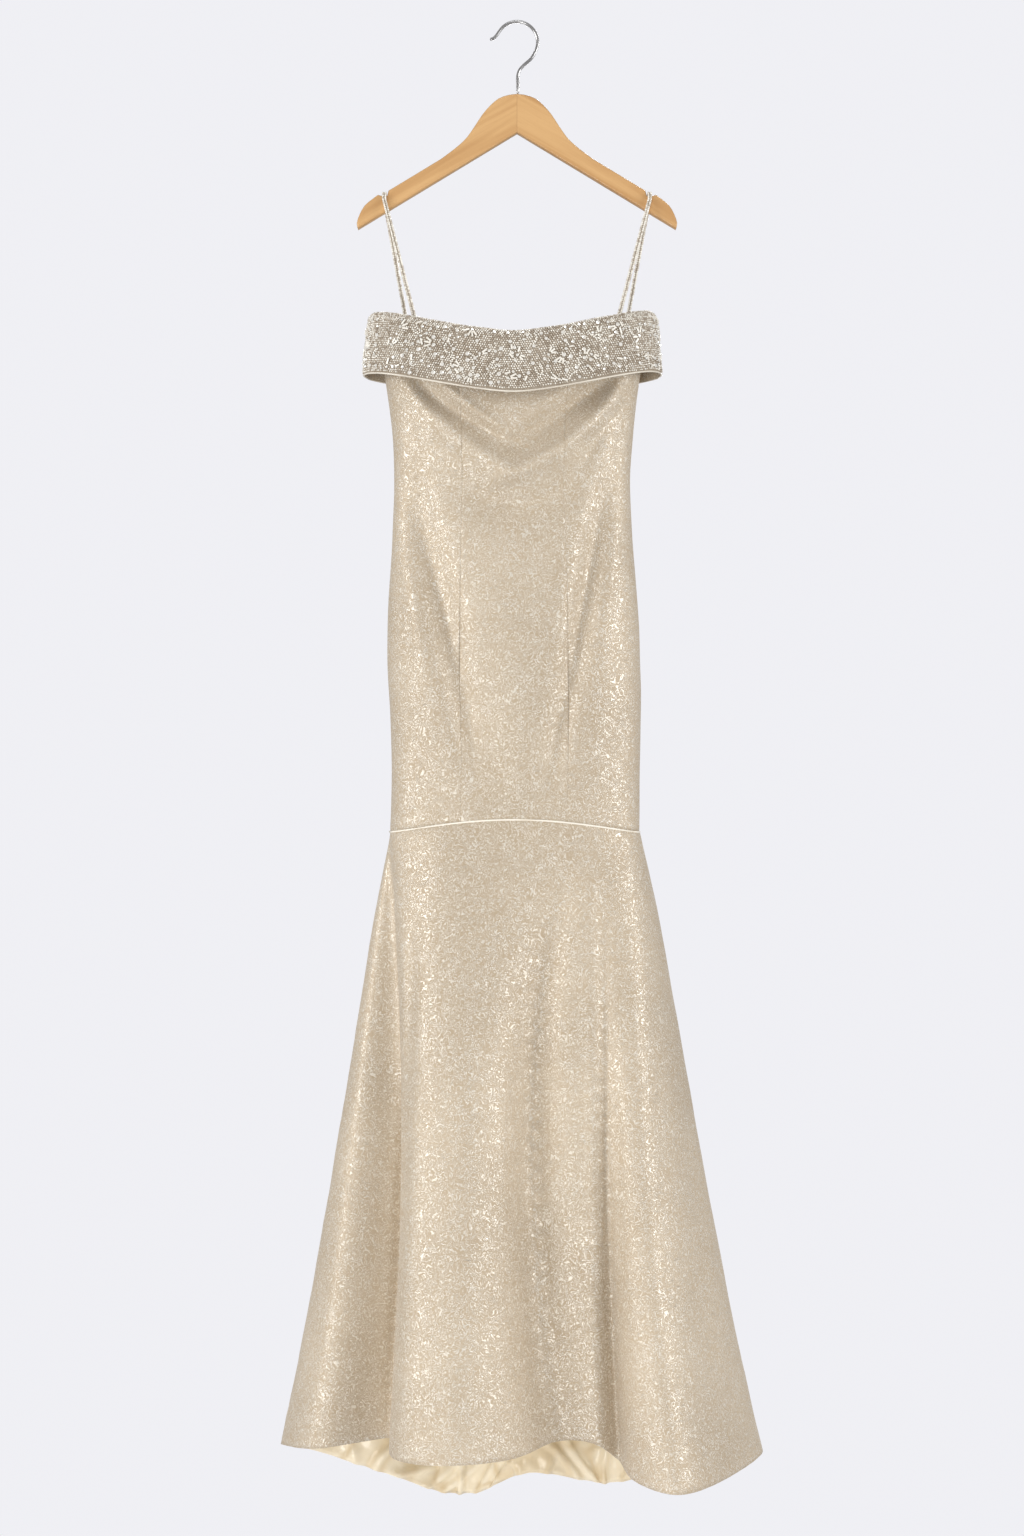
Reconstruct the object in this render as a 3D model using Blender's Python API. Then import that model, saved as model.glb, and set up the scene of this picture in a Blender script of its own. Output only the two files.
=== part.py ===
"""A mermaid gown with a turned-down beaded band, hung by two thin beaded straps on a wooden hanger.

Metres, +Z up. The origin is the inner top of the hook, where a rail carries it.
The front of the gown faces -Y and its right side, as seen from the front, is +X.
A place round the gown is a share of its girth: 0 is the right side, 0.25 the centre back,
0.5 the left side and 0.75 the centre front.
"""

import math

import bmesh
import bpy
import numpy as np

# Cloth and seams
CLOTH = 0.0020
LINING_CLOTH = 0.0010
SEAM_GAP = 0.0003
SIDE_SEAM_RIGHT = 0.025
SIDE_SEAM_LEFT = 0.470
CENTRE_BACK = 0.25
CENTRE_FRONT = 0.75
PRINCESS_SHARE = 0.086

# Torso
GOWN_CENTRE = -0.004
SIDE_Y = -0.012
ROUNDNESS = 2.4
THIGH_Z = -1.006
THIGH_ARCH_FRONT = 0.0165
THIGH_ARCH_BACK = 0.003
THIGH_HALF_WIDTH = 0.157
TORSO_GIRTH = 0.74
TORSO_ROWS_FRONT = 19
TORSO_ROWS_BACK = 10
TORSO_COLUMN = 0.0150
ROW_CROWDING = 1.25

# Beaded band
BAND_TOP_Z = -0.3655
BAND_DIP_FRONT = 0.034
BAND_DIP_BACK = 0.009
BAND_HALF_WIDTH = 0.180
BAND_CLOTH = 0.0026
NECK_BELOW_BAND = 0.019
BAND_COLUMN = 0.018
BAND_GIRTH = 0.84

# Skirt and lining
SKIRT_ROWS = 13
SKIRT_COLUMN = 0.030
LINING_GAP = 0.0032
LINING_START = 0.0015
LINING_LOOSE = 0.15

# Zip
ZIP_WIDTH = 0.016
ZIP_THICKNESS = 0.0014
ZIP_START = 0.01
ZIP_ROWS = 7

# Straps
STRAP_RADIUS = 0.0024
STRAP_START = 0.002
STRAP_SEWN = 0.009
STRAP_FRONT_X = 0.1215
STRAP_BACK_X = 0.1375
TORSO_LENGTH = 0.61

# Hanger
HANGER_THICKNESS = 0.012
HANGER_ROUNDING = 0.0022
HANGER_APEX_Z = -0.1375
NOTCH_X = 0.1650
NOTCH_Z = -0.2158
WIRE_RADIUS = 0.0022
HOOK_RADIUS = 0.0258
STEM_X = 0.001
STEM_BEND_Z = -0.0655
HEAD_TOP_Z = -0.0890

# height, left edge, right edge, front, back of the torso
TORSO_SECTIONS = (
    (-0.380, -0.1665, 0.1555, -0.0750, 0.0500),
    (-0.442, -0.1650, 0.1535, -0.0750, 0.0500),
    (-0.472, -0.1600, 0.1488, -0.0750, 0.0480),
    (-0.521, -0.1537, 0.1438, -0.0770, 0.0440),
    (-0.583, -0.1525, 0.1402, -0.0740, 0.0420),
    (-0.645, -0.1550, 0.1438, -0.0760, 0.0440),
    (-0.720, -0.1600, 0.1500, -0.0820, 0.0500),
    (-0.794, -0.1612, 0.1537, -0.0860, 0.0550),
    (-0.893, -0.1562, 0.1537, -0.0850, 0.0540),
    (-0.960, -0.1560, 0.1520, -0.0830, 0.0530),
    (-1.010, -0.1582, 0.1525, -0.0830, 0.0530),
)

# name, start x, start z, middle x, middle z, end x, end z, height (minus is a trough), half width
TORSO_FOLDS = (
    ("swag ridge", -0.1384, -0.4756, -0.0086, -0.5642, 0.1211, -0.4817, 0.0100, 0.0150),
    ("swag trough", -0.1360, -0.4574, -0.0026, -0.5330, 0.1308, -0.4700, -0.0110, 0.0170),
    ("trough under the swag", -0.0632, -0.5666, 0.0035, -0.6020, 0.0702, -0.5666, -0.0070, 0.0190),
    ("right crease", 0.1150, -0.5100, 0.0820, -0.5540, 0.0557, -0.5994, -0.0050, 0.0090),
    ("left long trough", -0.1263, -0.5909, -0.0710, -0.7849, -0.0268, -0.9729, -0.0110, 0.0240),
    ("right long trough", 0.1078, -0.6030, 0.0790, -0.7728, 0.0278, -0.9729, -0.0110, 0.0240),
    ("left flank ridge", -0.1280, -0.5500, -0.1080, -0.7700, -0.0820, -0.9600, 0.0040, 0.0220),
    ("right flank ridge", 0.1150, -0.5600, 0.1080, -0.7400, 0.0750, -0.9600, 0.0040, 0.0220),
)

# outward from the neckline, height above the band's fold: the path of the band's cloth
BAND_PROFILE = (
    (0.0000, -0.0187),
    (0.0028, -0.0100),
    (0.0070, -0.0024),
    (0.0115, 0.0000),
    (0.0160, -0.0028),
    (0.0182, -0.0110),
    (0.0200, -0.0300),
    (0.0222, -0.0550),
    (0.0238, -0.0750),
)

# name, girth share at the thigh seam, hem x, hem y, hem z, sideways bow, lining above the hem
SKIRT_FOLDS = (
    ("right side", 0.025, 0.3015, -0.0400, -1.7660, 0.000, 0.0040),
    ("right back turn", 0.062, 0.2650, 0.0150, -1.7860, 0.000, -0.0020),
    ("right back valley", 0.108, 0.1900, 0.0200, -1.8060, 0.006, -0.0025),
    ("right back fold", 0.150, 0.1180, 0.0640, -1.8320, 0.000, -0.0025),
    ("back dip", 0.200, 0.0650, 0.0460, -1.8210, 0.000, -0.0025),
    ("centre back valley", 0.245, 0.0160, 0.0140, -1.8030, 0.004, -0.0025),
    ("train fold right", 0.290, -0.0440, 0.0620, -1.8440, 0.000, -0.0025),
    ("train fold left", 0.330, -0.1080, 0.0640, -1.8420, 0.000, -0.0025),
    ("left back valley", 0.380, -0.1600, 0.0280, -1.8110, -0.006, -0.0025),
    ("left back turn", 0.432, -0.2400, 0.0220, -1.7840, 0.000, -0.0020),
    ("left side", 0.470, -0.2910, -0.0400, -1.7590, 0.000, 0.0030),
    ("left lobe", 0.488, -0.2360, -0.1380, -1.7375, 0.000, 0.0100),
    ("left recess", 0.506, -0.1440, -0.1060, -1.7320, 0.013, 0.0120),
    ("front lobe edge", 0.524, -0.1530, -0.1900, -1.7280, 0.014, 0.0120),
    ("front lobe", 0.640, -0.0770, -0.2500, -1.7255, 0.004, 0.0120),
    ("front lobe right", 0.715, 0.0040, -0.2040, -1.7290, -0.006, 0.0120),
    ("centre valley", 0.790, 0.0560, -0.1480, -1.7240, -0.014, 0.0120),
    ("small ridge", 0.842, 0.0960, -0.1650, -1.7250, -0.008, 0.0120),
    ("sharp valley", 0.884, 0.1217, -0.1480, -1.7490, -0.006, 0.0120),
    ("right lobe edge", 0.912, 0.1320, -0.1980, -1.7570, -0.010, 0.0120),
    ("right lobe", 0.946, 0.1760, -0.2400, -1.7620, -0.012, 0.0120),
    ("right lobe side", 0.988, 0.2520, -0.1650, -1.7620, 0.000, 0.0100),
)

# share of the way down the skirt, share of its flare
SKIRT_FLARE = (
    (0.00, 0.000),
    (0.11, 0.134),
    (0.28, 0.289),
    (0.60, 0.580),
    (0.93, 0.916),
    (1.00, 1.000),
)

# x, z along the hanger's upper edge, centre to tip, on the right arm
HANGER_HEAD = (
    (0.0000, -0.0890),
    (0.0187, -0.0927),
    (0.0305, -0.1007),
    (0.0424, -0.1138),
    (0.0530, -0.1298),
    (0.0640, -0.1450),
    (0.0780, -0.1575),
    (0.0947, -0.1700),
)
HANGER_TIP = (
    (0.1730, -0.2146),
    (0.1804, -0.2201),
    (0.1895, -0.2279),
    (0.1959, -0.2389),
    (0.1994, -0.2498),
    (0.1980, -0.2572),
)

# a strap's way up one side of the hanger and over it: out from the side, below the strap's top
STRAP_TURN = (
    (0.0006, 0.0085),
    (0.0000, 0.0055),
    (-0.0016, 0.0018),
    (-0.0050, 0.0000),
)

# share of the hanger's rounding taken inward and outward at each step
ROUNDING_STEPS = (
    (0.30, 0.65),
    (0.70, 0.35),
)

# x, z along the hook: the turned-out end, then below the round part down to the stem
HOOK_END = (
    (-0.0331, -0.0200),
    (-0.0300, -0.0196),
    (-0.0268, -0.0168),
)
HOOK_NECK = (
    (0.0177, -0.0441),
    (0.0082, -0.0525),
    (0.0029, -0.0589),
)
HOOK_ARC_START = 150
HOOK_ARC_END = -32
HOOK_ARC_STEP = 14

# colour, roughness, metallic
FINISHES = {
    "brocade": ((0.62, 0.53, 0.40), 0.45, 0.35),
    "beading": ((0.55, 0.51, 0.46), 0.30, 0.60),
    "satin": ((0.78, 0.64, 0.38), 0.32, 0.0),
    "zip_tape": ((0.60, 0.50, 0.37), 0.60, 0.0),
    "wood": ((0.62, 0.36, 0.15), 0.35, 0.0),
    "chrome": ((0.62, 0.62, 0.63), 0.18, 1.0),
}


def smooth_curve(keys, values, at, monotone=False):
    """Values at the given places on a smooth curve through the keyed values."""
    keys = np.asarray(keys, float)
    values = np.asarray(values, float).reshape(len(keys), -1)
    gaps = np.diff(keys)[:, None]
    slopes = np.diff(values, axis=0) / gaps
    if monotone:
        both = slopes[:-1] * slopes[1:]
        inner = np.where(both > 0, 2 * both / np.where(both > 0, slopes[:-1] + slopes[1:], 1), 0)
    else:
        inner = (gaps[1:] * slopes[:-1] + gaps[:-1] * slopes[1:]) / (gaps[1:] + gaps[:-1])
    tangents = np.vstack([slopes[:1], inner, slopes[-1:]])
    at = np.asarray(at, float)
    i = np.clip(np.searchsorted(keys, at, side="right") - 1, 0, len(keys) - 2)
    gap = gaps[i]
    t = ((at - keys[i])[..., None]) / gap
    return (
        (2 * t**3 - 3 * t**2 + 1) * values[i]
        + (t**3 - 2 * t**2 + t) * gap * tangents[i]
        + (3 * t**2 - 2 * t**3) * values[i + 1]
        + (t**3 - t**2) * gap * tangents[i + 1]
    )


def quarter_angles():
    """Shares of a quarter of the girth, and the ellipse angle at each."""
    angle = np.linspace(0, math.pi / 2, 400)
    x = THIGH_HALF_WIDTH * np.cos(angle) ** (2 / ROUNDNESS)
    y = -TORSO_SECTIONS[0][3] * np.sin(angle) ** (2 / ROUNDNESS)
    along = np.concatenate([[0], np.cumsum(np.hypot(np.diff(x), np.diff(y)))])
    return along / along[-1], angle


QUARTER_SHARES, QUARTER_ANGLES = quarter_angles()


def ring(girth, left, right, front, back):
    """Points round a flattened oval, at shares of the girth."""
    girth = np.mod(girth, 1)
    quarter = np.minimum(np.floor(girth * 4), 3)
    share = girth * 4 - quarter
    falling = quarter % 2 == 1
    angle = np.interp(np.where(falling, 1 - share, share), QUARTER_SHARES, QUARTER_ANGLES)
    wide = np.cos(angle) ** (2 / ROUNDNESS)
    deep = np.sin(angle) ** (2 / ROUNDNESS)
    on_right = (quarter == 0) | (quarter == 3)
    behind = quarter < 2
    x = GOWN_CENTRE + wide * np.where(on_right, right - GOWN_CENTRE, left - GOWN_CENTRE)
    y = SIDE_Y + deep * np.where(behind, back - SIDE_Y, front - SIDE_Y)
    return x, y


def behind_sides(girth):
    return np.mod(girth, 1) < 0.5


def torso_oval(girth, z):
    sections = np.array(TORSO_SECTIONS)[::-1]
    sizes = smooth_curve(sections[:, 0], sections[:, 1:], z)
    return ring(girth, *(sizes[..., k] for k in range(4)))


def fold_height(x, z):
    """How far the torso's folds move its front out."""
    height = np.zeros_like(x)
    t = np.linspace(0, 1, 25)
    for _, x0, z0, xm, zm, x1, z1, tall, wide in TORSO_FOLDS:
        bend_x = 2 * xm - (x0 + x1) / 2
        bend_z = 2 * zm - (z0 + z1) / 2
        path_x = (1 - t) ** 2 * x0 + 2 * t * (1 - t) * bend_x + t**2 * x1
        path_z = (1 - t) ** 2 * z0 + 2 * t * (1 - t) * bend_z + t**2 * z1
        away = (x[..., None] - path_x) ** 2 + (z[..., None] - path_z) ** 2
        nearest = away.argmin(-1)
        ends = np.sin(math.pi * np.clip(t[nearest] * 0.9 + 0.05, 0, 1)) ** 0.5
        height += tall * ends * np.exp(-away.min(-1) / wide**2)
    return height


def neck_z(girth):
    """Height of the neckline under the band."""
    return band_z(girth) - NECK_BELOW_BAND


def band_z(girth):
    """Height of the band's fold."""
    x, _ = ring(girth, -BAND_HALF_WIDTH, BAND_HALF_WIDTH, -1, 1)
    dip = np.where(behind_sides(girth), BAND_DIP_BACK, BAND_DIP_FRONT)
    across = np.clip(np.abs(x - GOWN_CENTRE) / BAND_HALF_WIDTH, 0, 1)
    return BAND_TOP_Z - dip * (1 - across**1.5)


def thigh_z(girth):
    """Height of the arched seam between torso and skirt."""
    x, _ = torso_oval(girth, np.full(np.shape(girth), THIGH_Z))
    rise = np.where(behind_sides(girth), THIGH_ARCH_BACK, THIGH_ARCH_FRONT)
    across = np.clip(np.abs(x - GOWN_CENTRE) / THIGH_HALF_WIDTH, 0, 1)
    return THIGH_Z + rise * (1 - across**2) ** 1.3


def torso_surface(girth, down):
    """The torso's outer face: girth share, and share of the way from neckline to thigh seam."""
    top = neck_z(girth)
    bottom = thigh_z(girth) + SEAM_GAP / 2
    z = top + (bottom - top) * down
    x, y = torso_oval(girth, z)
    push = np.where(behind_sides(girth), 0, fold_height(x, z))
    side_fade = np.clip((SIDE_Y - y) / 0.030, 0, 1)
    push = push * side_fade
    return np.stack([x, y - push, z], axis=-1)


def skirt_keys():
    """Places of the skirt's folds along its hem, and what each says, closed round the hem."""
    rows = np.array([row[1:] for row in SKIRT_FOLDS])
    rows = np.vstack([rows, rows[:1]])
    rows[-1, 0] += 1
    steps = np.linalg.norm(np.diff(rows[:, 1:3], axis=0), axis=1)
    along = np.concatenate([[0], np.cumsum(steps)])
    return along, rows


HEM_ALONG, HEM_ROWS = skirt_keys()
HEM_LENGTH = HEM_ALONG[-1]
SIDE_LEFT_ALONG = HEM_ALONG[[row[0] for row in SKIRT_FOLDS].index("left side")]


def closed_keys(values, turn=0):
    """Keys and values of a closed curve, with three more rows past each end."""
    last = len(values) - 1
    before = slice(last - 3, last)
    after = slice(1, 4)
    keys = np.concatenate([HEM_ALONG[before] - HEM_LENGTH, HEM_ALONG, HEM_ALONG[after] + HEM_LENGTH])
    return keys, np.concatenate([values[before] - turn, values, values[after] + turn])


def skirt_surface(along, down):
    """The skirt's outer face: place along the hem, and share of the way from seam to hem."""
    along = np.mod(along, HEM_LENGTH)
    seams = HEM_ROWS[:, 0]
    girth = smooth_curve(*closed_keys(seams, turn=1), along, monotone=True)[..., 0]
    seam_z = thigh_z(seams) - SEAM_GAP / 2
    seam_x, seam_y = torso_oval(seams, seam_z)
    offsets = np.stack(
        [HEM_ROWS[:, 1] - seam_x, HEM_ROWS[:, 2] - seam_y, HEM_ROWS[:, 3] - seam_z, HEM_ROWS[:, 4]], axis=1
    )
    moved = smooth_curve(*closed_keys(offsets), along)
    flare = smooth_curve(*np.array(SKIRT_FLARE).T, down)[..., 0]
    top_z = thigh_z(girth) - SEAM_GAP / 2
    x, y = torso_oval(girth, top_z)
    x = x + moved[..., 0] * flare + moved[..., 3] * np.sin(math.pi * down)
    y = y + moved[..., 1] * flare
    z = top_z + moved[..., 2] * down
    return np.stack([x, y, z], axis=-1)


def inward(surface, across, down, depth, span):
    """Points of a surface moved in by a depth, level, square to the surface's course round the gown."""
    step = span * 1e-4
    course = surface(across + step, down) - surface(across - step, down)
    course = course[..., :2] / np.linalg.norm(course[..., :2], axis=-1, keepdims=True)
    points = surface(across, down)
    points[..., 0] -= depth * course[..., 1]
    points[..., 1] += depth * course[..., 0]
    return points, course


def skins(surface, across, downs, outer_depth, inner_depth, span=1.0, open_ends=True):
    """The outer and inner skin of a piece, with half a seam gap left at each of its upright ends."""
    grid_across, grid_down = np.meshgrid(across, downs)
    made = []
    for depth in (outer_depth, inner_depth):
        points, course = inward(surface, grid_across, grid_down, depth, span)
        if open_ends:
            points[:, 0, :2] += course[:, 0] * SEAM_GAP / 2
            points[:, -1, :2] -= course[:, -1] * SEAM_GAP / 2
        made.append(points)
    return made


def finish(name, mesh_object, finish_name):
    """Names an object, gives it its material and puts it in the scene."""
    colour, roughness, metallic = FINISHES[finish_name]
    material = bpy.data.materials.new(name)
    material.use_nodes = True
    shader = material.node_tree.nodes["Principled BSDF"]
    shader.inputs["Base Color"].default_value = (*colour, 1)
    shader.inputs["Roughness"].default_value = roughness
    shader.inputs["Metallic"].default_value = metallic
    mesh_object.data.materials.append(material)
    bpy.context.scene.collection.objects.link(mesh_object)
    return mesh_object


def mesh_object(name, form, finish_name):
    """An object from a closed bmesh, smooth but for its sharp edges."""
    bmesh.ops.recalc_face_normals(form, faces=form.faces)
    mesh = bpy.data.meshes.new(name)
    form.to_mesh(mesh)
    form.free()
    mesh.shade_smooth()
    mesh.set_sharp_from_angle(angle=math.radians(50))
    return finish(name, bpy.data.objects.new(name, mesh), finish_name)


def wall(name, outer, inner, finish_name, closed=False):
    """A closed wall between an outer and an inner grid of points."""
    form = bmesh.new()
    outside = [[form.verts.new(point) for point in row] for row in outer]
    inside = [[form.verts.new(point) for point in row] for row in inner]
    rows, columns = len(outside), len(outside[0])
    across = range(columns if closed else columns - 1)
    for i in range(rows - 1):
        for j in across:
            k = (j + 1) % columns
            form.faces.new((outside[i][j], outside[i + 1][j], outside[i + 1][k], outside[i][k]))
            form.faces.new((inside[i][j], inside[i][k], inside[i + 1][k], inside[i + 1][j]))
    for j in across:
        k = (j + 1) % columns
        form.faces.new((outside[0][j], outside[0][k], inside[0][k], inside[0][j]))
        form.faces.new((outside[-1][j], inside[-1][j], inside[-1][k], outside[-1][k]))
    if not closed:
        for i in range(rows - 1):
            form.faces.new((outside[i][0], inside[i][0], inside[i + 1][0], outside[i + 1][0]))
            form.faces.new((outside[i][-1], outside[i + 1][-1], inside[i + 1][-1], inside[i][-1]))
    bmesh.ops.triangulate(form, faces=form.faces, quad_method="FIXED")
    return mesh_object(name, form, finish_name)


def torso_downs(rows):
    """Shares of the way down the torso, closer near the neckline."""
    return np.linspace(0, 1, rows + 1) ** ROW_CROWDING


def torso_panel(name, start, end, rows):
    """A torso panel between two places round the girth."""
    columns = max(4, round((end - start) * TORSO_GIRTH / TORSO_COLUMN))
    across = np.linspace(start, end, columns + 1)
    wall(name, *skins(torso_surface, across, torso_downs(rows), 0, CLOTH), "brocade")


def make_torso():
    left_princess = CENTRE_FRONT - PRINCESS_SHARE
    right_princess = CENTRE_FRONT + PRINCESS_SHARE
    torso_panel("back_right", SIDE_SEAM_RIGHT, CENTRE_BACK, TORSO_ROWS_BACK)
    torso_panel("back_left", CENTRE_BACK, SIDE_SEAM_LEFT, TORSO_ROWS_BACK)
    torso_panel("front_side_left", SIDE_SEAM_LEFT, left_princess, TORSO_ROWS_FRONT)
    torso_panel("front_centre", left_princess, right_princess, TORSO_ROWS_FRONT)
    torso_panel("front_side_right", right_princess, SIDE_SEAM_RIGHT + 1, TORSO_ROWS_FRONT)


def make_zip():
    """The zip's tape, just inside the centre back seam."""
    half = ZIP_WIDTH / 2 / TORSO_GIRTH
    across = np.linspace(CENTRE_BACK - half, CENTRE_BACK + half, 3)
    downs = torso_downs(TORSO_ROWS_BACK)[: ZIP_ROWS + 1]
    downs[0] = ZIP_START
    face = CLOTH + SEAM_GAP * 1.5
    wall("back_zip", *skins(torso_surface, across, downs, face, face + ZIP_THICKNESS), "zip_tape")


def hem_places(start, end):
    """Places along the hem, with one at each fold."""
    keys = HEM_ALONG[(HEM_ALONG >= start - 1e-9) & (HEM_ALONG <= end + 1e-9)]
    places = []
    for a, b in zip(keys[:-1], keys[1:]):
        count = max(2, round((b - a) / SKIRT_COLUMN))
        places.extend(np.linspace(a, b, count, endpoint=False))
    return np.array([*places, keys[-1]])


def make_skirt():
    downs = np.linspace(0, 1, SKIRT_ROWS + 1)
    for name, start, end in (
        ("skirt_back", 0, SIDE_LEFT_ALONG),
        ("skirt_front", SIDE_LEFT_ALONG, HEM_LENGTH),
    ):
        across = hem_places(start, end)
        wall(name, *skins(skirt_surface, across, downs, 0, CLOTH, HEM_LENGTH), "brocade")


def lining_surface(along, down):
    """The skirt's face again, from just under the thigh seam to the lining's own hem."""
    lift = smooth_curve(*closed_keys(HEM_ROWS[:, 5:6]), np.mod(along, HEM_LENGTH))[..., 0]
    end = 1 - lift / (THIGH_Z - HEM_ROWS[:, 3].mean())
    return skirt_surface(along, LINING_START + (end - LINING_START) * down)


def make_lining():
    """The lining, sewn in at the thigh seam and loose below it."""
    across = hem_places(0, HEM_LENGTH)[:-1]
    downs = np.linspace(0, 1, SKIRT_ROWS + 1)
    loose = np.clip(downs / LINING_LOOSE, 0, 1)[:, None]
    face = CLOTH + SEAM_GAP + LINING_GAP * loose
    made = skins(lining_surface, across, downs, face, face + LINING_CLOTH, HEM_LENGTH, open_ends=False)
    wall("skirt_lining", *made, "satin", closed=True)


def band_surface(girth, path_share):
    """The band's cloth: girth share, and share of the path from neckline over the fold to the lower edge."""
    profile = np.array(BAND_PROFILE)
    keys = np.linspace(0, 1, len(profile))
    out, above = np.moveaxis(smooth_curve(keys, profile, path_share), -1, 0)
    neck = neck_z(girth)
    step = 1e-4
    x, y = torso_oval(girth, neck)
    x1, y1 = torso_oval(girth + step, neck)
    x0, y0 = torso_oval(girth - step, neck)
    length = np.hypot(x1 - x0, y1 - y0)
    return np.stack(
        [x + out * (y1 - y0) / length, y - out * (x1 - x0) / length, band_z(girth) + above], axis=-1
    )


def band_skins(across):
    """Both skins of the band, moved square to its folded profile."""
    profile_shares = np.linspace(0, 1, len(BAND_PROFILE))
    girths, paths = np.meshgrid(across, profile_shares)
    step = 1e-4
    course = band_surface(girths + step, paths) - band_surface(girths - step, paths)
    path = band_surface(girths, np.minimum(paths + step, 1)) - band_surface(girths, np.maximum(paths - step, 0))
    square = np.cross(path, course)
    square /= np.linalg.norm(square, axis=-1, keepdims=True)
    course /= np.linalg.norm(course, axis=-1, keepdims=True)
    middle = band_surface(girths, paths)
    made = []
    for side in (0.5, -0.5):
        points = middle + square * side * BAND_CLOTH
        points[:, 0] += course[:, 0] * SEAM_GAP / 2
        points[:, -1] -= course[:, -1] * SEAM_GAP / 2
        made.append(points)
    return made


def make_band():
    for name, start, end in (
        ("collar_back", SIDE_SEAM_RIGHT, SIDE_SEAM_LEFT),
        ("collar_front", SIDE_SEAM_LEFT, SIDE_SEAM_RIGHT + 1),
    ):
        columns = round((end - start) * BAND_GIRTH / BAND_COLUMN)
        wall(name, *band_skins(np.linspace(start, end, columns + 1)), "beading")


def tube(name, points, radius, finish_name, end_radii=(1, 1)):
    """A round cord or wire along a route."""
    curve = bpy.data.curves.new(name, "CURVE")
    curve.dimensions = "3D"
    curve.bevel_depth = radius
    curve.bevel_resolution = 2
    curve.use_fill_caps = True
    spline = curve.splines.new("POLY")
    spline.points.add(len(points) - 1)
    for place, point in zip(spline.points, points):
        place.co = (*point, 1)
    spline.points[0].radius = end_radii[0]
    spline.points[-1].radius = end_radii[1]
    spline.use_smooth = True
    return finish(name, bpy.data.objects.new(name, curve), finish_name)


def girth_at(x, behind):
    """Share of the girth at a place across the neckline, in front or behind."""
    edge = TORSO_SECTIONS[0][2 if x > 0 else 1]
    wide = (x - GOWN_CENTRE) / (edge - GOWN_CENTRE)
    share = np.interp(math.acos(wide ** (ROUNDNESS / 2)), QUARTER_ANGLES, QUARTER_SHARES) / 4
    around = share if x > 0 else 0.5 - share
    return around if behind else 1 - around


def strap_anchor(x, behind):
    """Where a strap is sewn inside the neckline, and the sewn end below it."""
    clear = CLOTH + STRAP_RADIUS + 2 * SEAM_GAP
    down = np.array([STRAP_START, STRAP_START + STRAP_SEWN / TORSO_LENGTH])
    girth = np.full(2, girth_at(x, behind))
    points, _ = inward(torso_surface, girth, down, clear, 1.0)
    return points


def make_straps():
    over = NOTCH_Z + STRAP_RADIUS + 2 * SEAM_GAP
    side = HANGER_THICKNESS / 2 + STRAP_RADIUS + 2 * SEAM_GAP
    for name, way in (("strap_left", -1), ("strap_right", 1)):
        x = way * NOTCH_X
        front_top, front_end = strap_anchor(way * STRAP_FRONT_X, behind=False)
        back_top, back_end = strap_anchor(way * STRAP_BACK_X, behind=True)
        up = [(x, -side - out, over - below) for out, below in STRAP_TURN]
        down = [(x, side + out, over - below) for out, below in reversed(STRAP_TURN)]
        tube(name, [front_end, front_top, *up, *down, back_top, back_end], STRAP_RADIUS, "beading")


def hanger_outline():
    """The hanger's outline as seen from the front, right arm then left arm."""
    head = np.array(HANGER_HEAD)
    shares = np.linspace(0, 1, len(head))
    mirrored = np.vstack([head[1:2] * (-1, 1), head])
    keys = np.concatenate([[-shares[1]], shares])
    curve = smooth_curve(keys, mirrored, np.linspace(0, 1, 17))
    notch = [
        (NOTCH_X - 0.0052, NOTCH_Z + 0.0064),
        (NOTCH_X - 0.0034, NOTCH_Z),
        (NOTCH_X + 0.0040, NOTCH_Z),
    ]
    tip = np.array(HANGER_TIP)
    tip_curve = smooth_curve(np.arange(len(tip)), tip, np.linspace(0, len(tip) - 1, 2 * len(tip) - 1))
    right = [*map(tuple, curve), *notch, *map(tuple, tip_curve)]
    left = [(-x, z) for x, z in reversed(right[1:])]
    return [*right, (0.0, HANGER_APEX_Z), *left]


def make_hanger():
    form = bmesh.new()
    core = HANGER_THICKNESS / 2 - HANGER_ROUNDING
    outline = [form.verts.new((x, -core, z)) for x, z in hanger_outline()]
    front = form.faces.new(outline)
    made = bmesh.ops.extrude_face_region(form, geom=[front])
    back_verts = [item for item in made["geom"] if isinstance(item, bmesh.types.BMVert)]
    bmesh.ops.translate(form, verts=back_verts, vec=(0, 2 * core, 0))
    bmesh.ops.recalc_face_normals(form, faces=form.faces)
    flats = [face for face in form.faces if abs(face.normal.y) > 0.9]
    for inset, lift in ROUNDING_STEPS:
        bmesh.ops.inset_region(
            form,
            faces=flats,
            thickness=inset * HANGER_ROUNDING,
            depth=lift * HANGER_ROUNDING,
            use_even_offset=True,
        )
    return mesh_object("hanger_body", form, "wood")


def make_hook():
    """The wire hook: turned-out end, round top, neck and stem."""
    centre_z = WIRE_RADIUS - HOOK_RADIUS
    angles = range(HOOK_ARC_START, HOOK_ARC_END - 1, -HOOK_ARC_STEP)
    arc = [
        (HOOK_RADIUS * math.cos(math.radians(a)), centre_z + HOOK_RADIUS * math.sin(math.radians(a)))
        for a in angles
    ]
    stem = [(STEM_X, STEM_BEND_Z), (STEM_X, -0.0760), (STEM_X, HEAD_TOP_Z + SEAM_GAP)]
    route = np.array([*HOOK_END, *arc, *HOOK_NECK, *stem])
    steps = np.linalg.norm(np.diff(route, axis=0), axis=1)
    along = np.concatenate([[0], np.cumsum(steps)])
    smooth = smooth_curve(along, route, np.linspace(0, along[-1], 48))
    tip = smooth[0] + (smooth[0] - smooth[1]) / 5
    points = [(tip[0], 0, tip[1]), *((x, 0, z) for x, z in smooth)]
    tube("hanger_hook", points, WIRE_RADIUS, "chrome", end_radii=(0.45, 1))


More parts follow.
